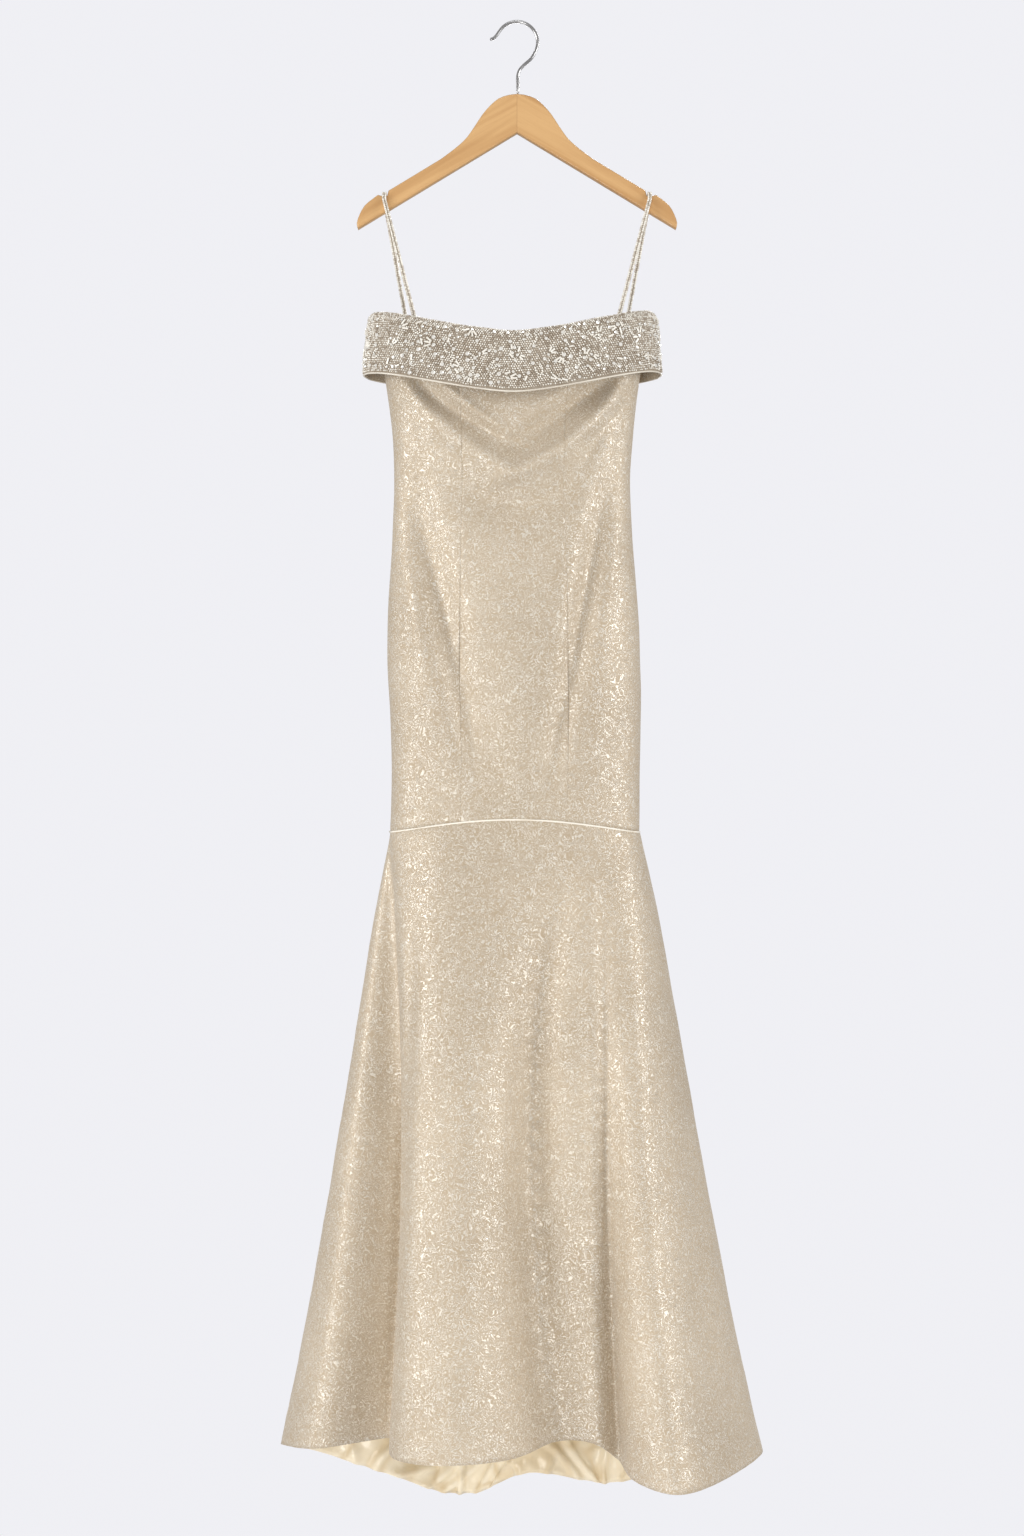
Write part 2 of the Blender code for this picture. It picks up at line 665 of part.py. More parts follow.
for old in list(bpy.data.objects):
    bpy.data.objects.remove(old)
make_torso()
make_zip()
make_skirt()
make_lining()
make_band()
make_straps()
make_hanger()
make_hook()
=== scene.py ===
import math
import random

import bmesh
import bpy
import numpy as np
from mathutils import Matrix, Vector, noise
from mathutils.bvhtree import BVHTree
from mathutils.kdtree import KDTree


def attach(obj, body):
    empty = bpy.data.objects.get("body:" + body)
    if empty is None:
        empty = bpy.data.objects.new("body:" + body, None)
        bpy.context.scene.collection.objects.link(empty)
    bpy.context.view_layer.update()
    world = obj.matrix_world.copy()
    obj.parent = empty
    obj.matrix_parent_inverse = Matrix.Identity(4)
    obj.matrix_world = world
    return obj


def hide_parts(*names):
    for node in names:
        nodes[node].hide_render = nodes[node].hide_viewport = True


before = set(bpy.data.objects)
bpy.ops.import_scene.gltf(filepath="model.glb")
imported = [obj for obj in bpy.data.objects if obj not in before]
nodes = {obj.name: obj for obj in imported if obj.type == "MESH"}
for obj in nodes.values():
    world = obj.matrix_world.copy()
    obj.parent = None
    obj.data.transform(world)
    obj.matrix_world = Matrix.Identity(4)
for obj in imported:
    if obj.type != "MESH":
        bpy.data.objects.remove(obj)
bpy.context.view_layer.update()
scene = bpy.context.scene

gown = {
    "centre": (-0.004, -0.012),  # x and y of the gown's upright middle line
    "cloth": 0.002,
    "lining": 0.001,
    "band": 0.0026,
    "mergeNear": 1e-5,
    "thighZ": -1.006,
    "bandFoldZ": -0.43,  # the band's lower edge is below this, its sewn edge above
    "skirtLowZ": -1.5,  # only the hem's edges are below this
    "rimShare": 1.25,  # a face narrower than this many cloths is on a solid's rim
    "levelShare": 0.7,  # an edge that climbs less for its length runs round the gown
}

studio = {
    "cameraPlace": (-0.0062, -3.0, -0.928),
    "halfHeight": 0.957,  # what the camera sees above and below itself, at the hanger
    "backdrop": (0.868, 0.868, 0.905),
    "ambient": (0.455, 0.443, 0.432),
    "floorZ": -2.3,
    "floorRadius": 1.2,
    "floorColours": ((0.8, 0.8, 0.82), (0.84, 0.84, 0.86)),
    # name, place, aim, size, power, colour
    "lights": (
        ("key", (-3.45, -1.8, -0.2), (0.0, 0.0, -1.15), 2.0, 74.0, (1.0, 0.99, 0.975)),
        ("fill", (3.55, -1.6, -0.3), (0.0, 0.0, -1.15), 2.4, 81.0, (1.0, 0.995, 0.985)),
        ("low", (-0.9, -2.9, -2.15), (0.0, 0.0, -1.1), 1.2, 33.0, (1.0, 0.99, 0.97)),
        ("top", (0.0, -1.5, 1.8), (0.0, 0.0, -0.6), 1.0, 8.0, (1.0, 1.0, 1.0)),
        ("back", (0.3, 3.2, 0.6), (0.0, 0.0, -0.95), 1.6, 70.0, (1.0, 0.99, 0.97)),
    ),
}


# Studio

def linked(name, data):
    made = bpy.data.objects.new(name, data)
    scene.collection.objects.link(made)
    return made


def makeCamera():
    data = bpy.data.cameras.new("camera")
    data.sensor_fit = "VERTICAL"
    data.angle = 2 * math.atan(studio["halfHeight"] / -studio["cameraPlace"][1])
    camera = linked("camera", data)
    camera.location = studio["cameraPlace"]
    camera.rotation_euler = (math.radians(90), 0, 0)
    scene.camera = camera


def makeLights():
    for name, place, aim, size, power, colour in studio["lights"]:
        data = bpy.data.lights.new(name, "AREA")
        data.shape = "DISK"
        data.size = size
        data.energy = power
        data.color = colour
        lamp = linked(name, data)
        lamp.location = place
        lamp.rotation_euler = (Vector(aim) - Vector(place)).to_track_quat("-Z", "Y").to_euler()


def makeWorld():
    world = bpy.data.worlds.new("studio")
    scene.world = world
    world.use_nodes = True
    tree = world.node_tree
    tree.nodes.clear()
    path = tree.nodes.new("ShaderNodeLightPath")
    mix = tree.nodes.new("ShaderNodeMixShader")
    out = tree.nodes.new("ShaderNodeOutputWorld")
    tree.links.new(path.outputs["Is Camera Ray"], mix.inputs[0])
    for slot, name in ((1, "ambient"), (2, "backdrop")):
        light = tree.nodes.new("ShaderNodeBackground")
        light.inputs["Color"].default_value = (*studio[name], 1)
        tree.links.new(light.outputs[0], mix.inputs[slot])
    tree.links.new(mix.outputs[0], out.inputs[0])
    scene.view_settings.view_transform = "Standard"


# Materials

class Val:
    # a node socket that takes part in Python sums
    def __init__(self, finish, socket):
        self.finish = finish
        self.socket = socket

    def calc(self, operation, first, second):
        return self.finish.node("ShaderNodeMath", {"operation": operation}, {0: first, 1: second})

    def __add__(self, other):
        return self.calc("ADD", self, other)

    __radd__ = __add__

    def __sub__(self, other):
        return self.calc("SUBTRACT", self, other)

    def __rsub__(self, other):
        return self.calc("SUBTRACT", other, self)

    def __mul__(self, other):
        return self.calc("MULTIPLY", self, other)

    __rmul__ = __mul__

    def __abs__(self):
        return self.calc("ABSOLUTE", self, 0.0)


class Finish:
    # a material, with the nodes that the finishes here use
    def __init__(self, name, **fixed):
        self.material = bpy.data.materials.new(name)
        self.material.use_nodes = True
        self.tree = self.material.node_tree
        self.shader = self.tree.nodes["Principled BSDF"]
        for socket, value in fixed.items():
            self.shader.inputs[socket.replace("_", " ")].default_value = value

    def node(self, kind, settings=None, values=None, out=0):
        made = self.tree.nodes.new(kind)
        for key, value in (settings or {}).items():
            setattr(made, key, value)
        for key, value in (values or {}).items():
            if isinstance(value, Val):
                self.tree.links.new(value.socket, made.inputs[key])
            else:
                made.inputs[key].default_value = value
        return Val(self, made.outputs[out])

    def place(self):
        return self.node("ShaderNodeTexCoord", out="Object")

    def split(self, vector, part):
        return self.node("ShaderNodeSeparateXYZ", values={0: vector}, out=part)

    def join(self, x, y, z):
        return self.node("ShaderNodeCombineXYZ", values={0: x, 1: y, 2: z})

    def noise(self, vector, scale, detail=1.0, distortion=0.0, out="Fac"):
        values = {"Vector": vector, "Scale": scale, "Detail": detail, "Distortion": distortion}
        return self.node("ShaderNodeTexNoise", values=values, out=out)

    def cells(self, vector, scale):
        values = {"Vector": vector, "Scale": scale}
        return self.node("ShaderNodeTexVoronoi", values=values, out="Distance")

    def attribute(self, name):
        return self.node("ShaderNodeAttribute", {"attribute_name": name}, out="Fac")

    def rise(self, value, low, high):
        settings = {"interpolation_type": "SMOOTHSTEP"}
        return self.node("ShaderNodeMapRange", settings, {0: value, 1: low, 2: high})

    def mix(self, factor, first, second):
        first = first if isinstance(first, Val) else (*first, 1)
        second = second if isinstance(second, Val) else (*second, 1)
        return self.node("ShaderNodeMix", {"data_type": "RGBA"}, {0: factor, 6: first, 7: second}, 2)

    def bump(self, height, distance, strength=1.0):
        values = {"Height": height, "Distance": distance, "Strength": strength}
        return self.node("ShaderNodeBump", values=values)

    def wire(self, **sockets):
        for socket, value in sockets.items():
            self.tree.links.new(value.socket, self.shader.inputs[socket.replace("_", " ")])
        return self.material


brocade = {
    "ground": (0.54, 0.443, 0.322),
    "groundDeep": (0.465, 0.374, 0.265),
    "thread": (0.795, 0.748, 0.66),
    # painted glint colour
    "glint": (0.96, 0.94, 0.9),
    # painted shade: the brown shadow line darkened into the cloth along each seam
    "seam": (0.3, 0.235, 0.155),
    "swirlScale": 32.0,
    "swirlReach": 0.012,
    "lineScale": 96.0,
    "lineTurns": 5.0,
    "breakScale": 350.0,
    "dotScale": 520.0,
    "patchScale": 60.0,
    "toneScale": 7.0,
    "grainScale": 1400.0,
    "raised": 0.0003,
}


def brocadeFinish():
    # cream thread in short wriggling strokes over champagne, with fine dots painted bright as glints
    make = Finish("brocade", Sheen_Weight=0.12, Sheen_Roughness=0.4, Specular_IOR_Level=0.4)
    place = make.place()
    swirl = make.noise(place, brocade["swirlScale"], 1.5, out="Color")
    values = {0: swirl, 1: (brocade["swirlReach"],) * 3, 2: place}
    warped = make.node("ShaderNodeVectorMath", {"operation": "MULTIPLY_ADD"}, values)
    lines = make.noise(warped, brocade["lineScale"], 0.8, 0.9)
    turns = lines * brocade["lineTurns"] * 2
    wave = make.node("ShaderNodeMath", {"operation": "PINGPONG"}, {0: turns, 1: 0.5})
    strokes = make.rise(wave, 0.22, 0.38)
    broken = make.rise(make.noise(place, brocade["breakScale"], 0.5), 0.4, 0.54)
    strokes = strokes * (broken * 0.75 + 0.25)
    dots = make.rise(make.cells(place, brocade["dotScale"]), 0.42, 0.2)
    patch = make.rise(make.noise(place, brocade["patchScale"], 2.0), 0.42, 0.66)
    glints = dots * (patch * 0.6 + 0.3)
    tone = make.rise(make.noise(place, brocade["toneScale"], 3.0), 0.3, 0.7)
    colour = make.mix(tone, brocade["ground"], brocade["groundDeep"])
    colour = make.mix(strokes * 0.85, colour, brocade["thread"])
    # painted glints: bright dots in the base colour, gathered in patches
    colour = make.mix(glints * 0.75, colour, brocade["glint"])
    # the seam's groove: a real dip in the bump, and painted shade darkening the colour there
    grooveAndShade = make.rise(make.attribute("seam"), 0.35, 1.0)
    colour = make.mix(grooveAndShade * 0.22, colour, brocade["seam"])
    height = strokes * 0.6 + dots * 0.5 + make.noise(place, brocade["grainScale"], 1.0) * 0.12
    height = height - grooveAndShade * 0.8
    return make.wire(
        Base_Color=colour,
        Metallic=strokes * 0.3 + glints * 0.25 + 0.12,
        Roughness=0.56 - strokes * 0.14 - glints * 0.16,
        Normal=make.bump(height, brocade["raised"], 0.85),
    )


satin = {
    "gold": ((0.96, 0.855, 0.655), (0.78, 0.63, 0.4)),  # light, and deep: the painted shade along its creases
    "silver": ((0.8, 0.75, 0.66), (0.66, 0.6, 0.51)),
    # painted highlight: the welt's cream stands for the light on the turned edge
    "cream": ((0.96, 0.91, 0.81), (0.82, 0.74, 0.61)),
    "crumpleScale": 12.0,
    "fineScale": 110.0,
    "weaveScale": 2600.0,
}


def satinFinish(name, light, deep):
    make = Finish(name, Sheen_Weight=0.2, Sheen_Roughness=0.3, Anisotropic=0.4)
    place = make.place()
    crumple = make.noise(place, satin["crumpleScale"], 1.0, 0.8)
    crease = make.rise(abs(crumple - 0.5), 0.0, 0.1)
    fine = make.noise(place, satin["fineScale"], 2.0, 0.4)
    # painted shade: the deep colour is laid along the crease lines
    colour = make.mix(crease * 0.75 + 0.25, deep, light)
    weave = make.noise(place, satin["weaveScale"], 0.0)
    height = crease * 0.3 + crumple * 1.2 + fine * 0.04 + weave * 0.01
    return make.wire(
        Base_Color=colour,
        Roughness=0.15 + weave * 0.08,
        Normal=make.bump(height, 0.009, 0.5),
    )


beadwork = {
    "ground": (0.3, 0.245, 0.185),
    # painted shade along the band's seams
    "seam": (0.2, 0.17, 0.13),
    "taupe": (0.44, 0.37, 0.295),
    "silver": (0.74, 0.685, 0.6),
    "silverTint": 0.45,
    "clear": (0.98, 0.96, 0.9),
    "stone": ((0.86, 0.84, 0.79), (1.0, 0.99, 0.95)),
}


def groundFinish():
    # the silvery taupe cloth under the beads
    make = Finish("bead_ground", Specular_IOR_Level=0.4)
    place = make.place()
    net = make.rise(make.cells(place, 520.0), 0.15, 0.5)
    tone = make.noise(place, 30.0, 2.0)
    colour = make.mix(net, beadwork["taupe"], beadwork["ground"])
    colour = make.mix(make.rise(tone, 0.4, 0.7) * 0.25, colour, beadwork["silver"])
    # painted shade: the ground darkens towards its cut edges, along the seams
    seam = make.rise(make.attribute("seam"), 0.35, 1.0)
    return make.wire(
        Base_Color=make.mix(seam * 0.4, colour, beadwork["seam"]),
        Roughness=0.48 + net * 0.2,
        Metallic=0.25 - net * 0.1,
        Normal=make.bump(net * -1.0, 0.0003, 0.7),
    )


def beadFinish():
    # each glass bead has its own tint, from taupe through silver to clear
    make = Finish("beads", Coat_Weight=0.35, Coat_Roughness=0.12)
    tint = make.attribute("tint")
    half = beadwork["silverTint"]
    colour = make.mix(tint * (1 / half), beadwork["taupe"], beadwork["silver"])
    colour = make.mix((tint - half) * (1 / (1 - half)), colour, beadwork["clear"])
    cloud = make.noise(make.place(), 500.0, 1.0)
    return make.wire(
        Base_Color=colour,
        Metallic=0.32 - tint * 0.22,
        Roughness=0.26 + cloud * 0.22,
    )


def stoneFinish():
    # cut stones, backed with foil
    make = Finish("stones", Coat_Weight=0.8, Coat_Roughness=0.05)
    tint = make.attribute("tint")
    colour = make.mix(tint, *beadwork["stone"])
    return make.wire(Base_Color=colour, Metallic=0.3 + tint * 0.2, Roughness=0.1 + tint * 0.1)


wood = {
    "light": (0.69, 0.42, 0.182),
    "dark": (0.545, 0.3, 0.115),
    "streak": (0.52, 0.27, 0.1),
    "fleck": (0.45, 0.23, 0.09),
    "joint": (0.38, 0.2, 0.08),
    "slope": 29.7,  # degrees, each arm below level
    "jointHalf": 0.00022,
}


def woodFinish():
    # two arms glued at the middle, under clear lacquer
    make = Finish("wood", Coat_Weight=0.45, Coat_Roughness=0.18, Specular_IOR_Level=0.5)
    place = make.place()
    x, y, z = (make.split(place, part) for part in range(3))
    slope = math.radians(wood["slope"])
    side = abs(x)
    along = side * math.cos(slope) - z * math.sin(slope)
    across = side * math.sin(slope) + z * math.cos(slope)
    half = make.rise(x, -0.0001, 0.0001)
    grain = make.join(along * 5.0, across * 70.0, y * 40.0 + half * 9.0)
    bands = make.noise(grain, 1.0, 3.0, 0.6)
    fine = make.noise(make.join(along * 26.0, across * 620.0, y * 300.0 + half * 5.0), 1.0, 2.0)
    flecks = make.noise(make.join(along * 160.0, across * 900.0, y * 500.0), 1.0, 1.0)
    colour = make.mix(make.rise(bands, 0.32, 0.72), wood["light"], wood["dark"])
    colour = make.mix(make.rise(fine, 0.52, 0.8) * 0.3, colour, wood["streak"])
    colour = make.mix(make.rise(flecks, 0.66, 0.8) * 0.25, colour, wood["fleck"])
    joint = make.rise(side, wood["jointHalf"] * 2, wood["jointHalf"])
    colour = make.mix(joint * 0.55, colour, wood["joint"])
    height = fine * 0.4 + flecks * 0.3 - joint * 1.2
    return make.wire(
        Base_Color=colour,
        Roughness=0.4 + fine * 0.14,
        Normal=make.bump(height, 0.00012, 0.5),
    )


metal = ((0.5, 0.5, 0.51), (0.36, 0.36, 0.37))  # bright and dull


def chromeFinish():
    make = Finish("chrome", Metallic=1.0)
    place = make.place()
    drawn = make.noise(place, 900.0, 2.0)
    worn = make.noise(place, 60.0, 3.0)
    colour = make.mix(make.rise(worn, 0.4, 0.75), *metal)
    return make.wire(
        Base_Color=colour,
        Roughness=0.2 + drawn * 0.1,
        Normal=make.bump(drawn, 0.00002, 0.15),
    )


tape = {
    "colours": ((0.55, 0.45, 0.32), (0.66, 0.57, 0.43)),
    "rowScale": 260.0,
}


def tapeFinish():
    # the zip's herringbone tape
    make = Finish("zip_tape", Specular_IOR_Level=0.3)
    place = make.place()
    values = {"Vector": place, "Scale": tape["rowScale"], "Distortion": 3.0}
    rows = make.node("ShaderNodeTexWave", values=values)
    colour = make.mix(rows, *tape["colours"])
    return make.wire(Base_Color=colour, Roughness=0.62 + rows * 0.1, Normal=make.bump(rows, 0.0002, 0.6))


# Mesh work

def addPiece(name, data, material):
    piece = linked(name, data)
    data.materials.clear()
    data.materials.append(material)
    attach(piece, "root")
    return piece


def formOf(*meshes):
    form = bmesh.new()
    for data in meshes:
        form.from_mesh(data)
    return form


def merged(name):
    # a solid, with its loose triangles joined at their corners
    form = formOf(nodes[name].data)
    bmesh.ops.remove_doubles(form, verts=form.verts, dist=gown["mergeNear"])
    return form


def toQuads(form):
    bmesh.ops.join_triangles(
        form, faces=form.faces, angle_face_threshold=math.pi, angle_shape_threshold=math.pi
    )


def toMesh(form, name):
    data = bpy.data.meshes.new(name)
    form.to_mesh(data)
    form.free()
    data.shade_smooth()
    return data


def islands(form):
    left = set(form.faces)
    found = []
    while left:
        island = {left.pop()}
        edge = list(island)
        while edge:
            near = {face for side in edge.pop().edges for face in side.link_faces} & left
            left -= near
            island |= near
            edge.extend(near)
        found.append(island)
    return found


def facingOut(island):
    middle = Vector((*gown["centre"], 0))
    total = 0
    for face in island:
        away = face.calc_center_median() - middle
        away.z = 0
        total += face.calc_area() * face.normal.dot(away.normalized())
    return total


def outerSkin(name, thickness):
    # a panel's outer face: its solid without the narrow rim and the inner face
    form = merged(name)
    narrow = thickness * gown["rimShare"]
    rim = [face for face in form.faces if min(edge.calc_length() for edge in face.edges) < narrow]
    bmesh.ops.delete(form, geom=rim, context="FACES")
    skins = sorted(islands(form), key=facingOut)
    inner = [face for skin in skins[:-1] for face in skin]
    bmesh.ops.delete(form, geom=inner, context="FACES")
    toQuads(form)
    return form


def subdivided(form, name, levels):
    data = toMesh(form, name + "_coarse")
    helper = linked(name + "_coarse", data)
    smooth = helper.modifiers.new("smooth", "SUBSURF")
    smooth.levels = levels
    smooth.render_levels = levels
    smooth.boundary_smooth = "PRESERVE_CORNERS"
    fine = evaluated(helper, name)
    bpy.data.meshes.remove(data)
    return fine


def evaluated(helper, name):
    # the mesh that a helper's modifiers or bevel make; the helper goes
    graph = bpy.context.evaluated_depsgraph_get()
    made = bpy.data.meshes.new_from_object(helper.evaluated_get(graph))
    made.name = name
    bpy.data.objects.remove(helper)
    return made


def readPoints(data):
    points = np.empty(len(data.vertices) * 3)
    data.vertices.foreach_get("co", points)
    normals = np.empty(len(data.vertices) * 3)
    data.vertex_normals.foreach_get("vector", normals)
    return points.reshape(-1, 3), normals.reshape(-1, 3)


def writePoints(data, points):
    data.vertices.foreach_set("co", points.astype(np.float32).ravel())
    data.update()


def treeOf(points):
    tree = KDTree(len(points))
    for i, point in enumerate(points):
        tree.insert(point, i)
    tree.balance()
    return tree


def lengthsAlong(points):
    return np.concatenate([[0], np.cumsum(np.linalg.norm(np.diff(points, axis=0), axis=1))])


def edgeDistance(data):
    # how far each point is from the panel's cut edge
    form = formOf(data)
    edge = []
    for side in form.edges:
        if side.is_boundary:
            edge.extend(side.verts[0].co.lerp(side.verts[1].co, t) for t in (0.0, 0.25, 0.5, 0.75))
    tree = treeOf(edge)
    away = np.array([tree.find(vert.co)[2] for vert in form.verts])
    form.free()
    return away


def ripple(points, size, seed):
    return np.array([noise.noise(Vector(point) / size + Vector((seed, 0, 0))) for point in points])


creasing = {
    "steps": 33,  # along each crease
    "spread": 3,  # half widths to each side
    "ends": (0.94, 0.03),  # scale and shift that keep a little height at its ends
    "fade": 0.7,
    "turned": (0.08, 0.3),  # it fades out as the cloth turns to the side
}


def creaseHeight(points, normals, rows, facing):
    # troughs and ridges drawn on the gown's front (facing -1) or back (facing 1)
    height = np.zeros(len(points))
    flat = points[:, ::2]
    t = np.linspace(0, 1, creasing["steps"])
    scale, shift = creasing["ends"]
    low, span = creasing["turned"]
    for *places, tall, wide in np.array(rows) / 1000:
        start, middle, end = np.reshape(places, (3, 2, 1))
        bend = 2 * middle - (start + end) / 2
        path = (1 - t) ** 2 * start + 2 * t * (1 - t) * bend + t**2 * end
        reach = creasing["spread"] * wide
        near = ((flat > path.min(1) - reach) & (flat < path.max(1) + reach)).all(1)
        away = ((flat[near, :, None] - path) ** 2).sum(1)
        ends = np.sin(math.pi * np.clip(t[away.argmin(1)] * scale + shift, 0, 1)) ** creasing["fade"]
        height[near] += tall * ends * np.exp(-away.min(1) / wide**2)
    return height * np.clip((facing * normals[:, 1] - low) / span, 0, 1)


# in mm: x and z of a crease's start, middle and end, its height (minus is a trough) and half width
frontCreases = (
    (-142, -468, -8, -572, 127, -472, 2.6, 11),  # swag
    (-144, -450, -76, -519, 22, -582, 8.2, 9.8),  # its left arm
    (-36, -582, 66, -527, 129, -454, 10.4, 10.4),  # its right arm
    (-128, -444, -69, -499, 12, -542, -5.8, 9),  # left arm's dark side
    (-16, -542, 57, -493, 118, -443, -13.5, 13),  # right arm's dark side
    (-106, -446, -48, -495, 4, -524, 3.4, 6),  # the ridge inside the swag
    (14, -528, 38, -504, 58, -480, 2.6, 5.5),
    (-70, -586, 0, -612, 70, -580, -6.6, 16),  # under the swag
    (112, -504, 86, -548, 60, -598, -3, 7),
    (130, -490, 124, -540, 112, -600, -2.4, 9),
    (-134, -500, -120, -560, -106, -640, -2.8, 10),
    (-134, -570, -93, -730, -57, -890, -12, 16.5),  # down the left trough
    (-72, -830, -60, -900, -42, -970, -3.6, 13),
    (-148, -640, -128, -730, -110, -840, 2.4, 10),
    (108, -570, 81, -730, 48, -900, -10, 13),  # down the right trough
    (58, -840, 48, -905, 32, -975, -4, 13),
    (127, -620, 107, -720, 92, -840, 2.4, 10),
    (-20, -630, -12, -740, -4, -840, 1.8, 26),
    (30, -650, 36, -740, 32, -820, -1, 16),
    (-144, -830, -122, -890, -98, -970, -1.4, 12),
    (142, -850, 124, -905, 102, -970, -1.4, 11),
    (-65, -992, -55, -985, -43, -980, -1.4, 4),  # pull over the thigh seam
    (-70, -997, -3, -986, 64, -997, 2.4, 9),  # out to the skirt's top edge
)

# the back hangs alike, a little softer
backCreases = (
    (-135, -465, -10, -525, 120, -460, 6, 13),
    (-120, -456, -6, -502, 108, -452, -5, 12),
    (-80, -542, 5, -564, 76, -536, -4, 15),
    (-130, -570, -96, -720, -56, -930, -6, 20),
    (124, -560, 90, -740, 60, -910, -5.6, 21),
    (-110, -620, -82, -700, -70, -790, -2.2, 9),
    (104, -660, 82, -760, 66, -860, -2.4, 10),
    (-42, -600, -30, -660, -24, -730, -1.6, 10),
    (34, -610, 26, -690, 20, -770, -1.4, 11),
    (-146, -780, -118, -860, -90, -970, 2.2, 14),
    (140, -760, 118, -840, 96, -965, 2, 15),
)

skirtFrontCreases = (
    (-64, -1016, -54, -1008, -46, -1002, -1.6, 4.5),
    (-142, -1070, -138, -1220, -134, -1400, 2, 12),
    (72, -1020, 18, -1330, 32, -1760, -19, 23),  # the wide valley
    (90, -1080, 97, -1400, 104, -1760, 11, 15),  # softens the second valley
    (112, -1220, 119, -1480, 125, -1780, -7, 10),
    (-125, -1120, -137, -1420, -154, -1760, -11, 8.5),  # beside the front lobe
    (156, -1100, 152, -1320, 164, -1620, 2.2, 15),
    (-60, -1240, -48, -1430, -40, -1680, 1.6, 22),
    (-100, -1360, -98, -1520, -108, -1700, -1.4, 16),
    (205, -1320, 218, -1490, 230, -1720, -2, 15),
    (-220, -1420, -240, -1560, -256, -1700, -1.8, 13),
)

skirtBackCreases = (
    (140, -1120, 156, -1360, 190, -1720, -2.2, 16),
    (70, -1100, 90, -1380, 116, -1760, 2.4, 18),
    (12, -1220, 14, -1480, 16, -1780, -2.8, 12),
    (-50, -1150, -48, -1420, -44, -1790, 2.2, 17),
    (-90, -1300, -100, -1520, -108, -1800, 1.8, 16),
    (-130, -1180, -142, -1430, -162, -1760, -2.4, 14),
    (-200, -1340, -220, -1520, -245, -1730, 2, 15),
)

panel = {
    "levels": 3,
    "seamClose": 0.00016,  # each cut edge is let out by this, so two meet in a hairline
    "seamWide": 0.0018,
    "seamDip": 0.0004,
    "seamHalf": 0.003,
    "pucker": 0.0005,
    "puckerReach": 0.011,
    "puckerLength": 0.013,
    "hang": 0.0007,
    "hangSize": 0.055,
    "edgeRound": 0.00015,
    "edgeReach": 0.012,
    # name, creases, the share of them that a cut edge keeps, facing, flat size, flat area
    "panels": (
        ("front_centre", frontCreases, 0.9, -1, (0.13, 0.62), 0.077),
        ("front_side_left", frontCreases, 0.9, -1, (0.146, 0.61), 0.085),
        ("front_side_right", frontCreases, 0.9, -1, (0.142, 0.61), 0.083),
        ("back_left", backCreases, 0.4, 1, (0.166, 0.625), 0.1),
        ("back_right", backCreases, 0.4, 1, (0.17, 0.625), 0.102),
        ("skirt_front", skirtFrontCreases, 0.4, -1, (0.99, 0.78), 0.512),
        ("skirt_back", skirtBackCreases, 0.4, 1, (0.72, 0.85), 0.419),
    ),
}


def addSeamAttribute(data, away):
    # 1 at the panel's cut edge, 0 from a seam's width on
    layer = data.attributes.new("seam", "FLOAT", "POINT")
    layer.data.foreach_set("value", np.clip(1 - away / panel["seamWide"], 0, 1).astype(np.float32))


def addWall(piece, thickness):
    wall = piece.modifiers.new("wall", "SOLIDIFY")
    wall.thickness = thickness
    wall.offset = -1


def thicken(piece, thickness):
    addWall(piece, thickness)
    rounding = piece.modifiers.new("edge", "BEVEL")
    rounding.width = panel["edgeRound"]
    rounding.segments = 2
    rounding.limit_method = "ANGLE"
    rounding.angle_limit = math.radians(60)
    rounding.use_clamp_overlap = True


def letOut(data, reach):
    # moves the cut edges outward along the cloth
    form = formOf(data)
    moves = {}
    for edge in form.edges:
        if edge.is_boundary:
            face = edge.link_faces[0]
            course = (edge.verts[1].co - edge.verts[0].co).normalized()
            out = course.cross(face.normal)
            if out.dot(edge.verts[0].co - face.calc_center_median()) < 0:
                out = -out
            for vert in edge.verts:
                moves[vert] = moves.get(vert, Vector()) + out
    for vert, move in moves.items():
        vert.co += move.normalized() * reach
    form.to_mesh(data)
    form.free()
    data.update()


def makePanels(material):
    faces = {}
    for name, creases, left, facing, flat, area in panel["panels"]:
        data = subdivided(outerSkin(name, gown["cloth"]), name + "_cloth", panel["levels"])
        letOut(data, panel["seamClose"])
        points, normals = readPoints(data)
        away = edgeDistance(data)
        crease = creaseHeight(points, normals, creases, facing)
        crease *= left + (1 - left) * np.clip(away / panel["edgeReach"], 0, 1)
        height = panel["hang"] * ripple(points, panel["hangSize"], seed=3.0)
        pucker = ripple(points, panel["puckerLength"], seed=11.0)
        height += panel["pucker"] * pucker * np.exp(-((away / panel["puckerReach"]) ** 2))
        height -= panel["seamDip"] * np.exp(-((away / panel["seamHalf"]) ** 2))
        move = normals * (1, 1, 0.25) * height[:, None]
        move[:, 1] += facing * crease
        writePoints(data, points + move)
        addSeamAttribute(data, away)
        piece = addPiece(name + "_cloth", data, material)
        thicken(piece, gown["cloth"])
        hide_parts(name)
        faces[name] = data
        print("panel", name, len(data.polygons))
    return faces


makeCamera()
makeLights()
makeWorld()
finishes = {
    "brocade": brocadeFinish(),
    "satin": satinFinish("satin", *satin["gold"]),
    "edging": satinFinish("edging", *satin["silver"]),
    # painted highlight on the welt
    "welt": satinFinish("welt", *satin["cream"]),
    "ground": groundFinish(),
    "beads": beadFinish(),
    "stones": stoneFinish(),
    "wood": woodFinish(),
    "chrome": chromeFinish(),
    "tape": tapeFinish(),
}
print("studio and finishes ready")
panelFaces = makePanels(finishes["brocade"])


# Piping

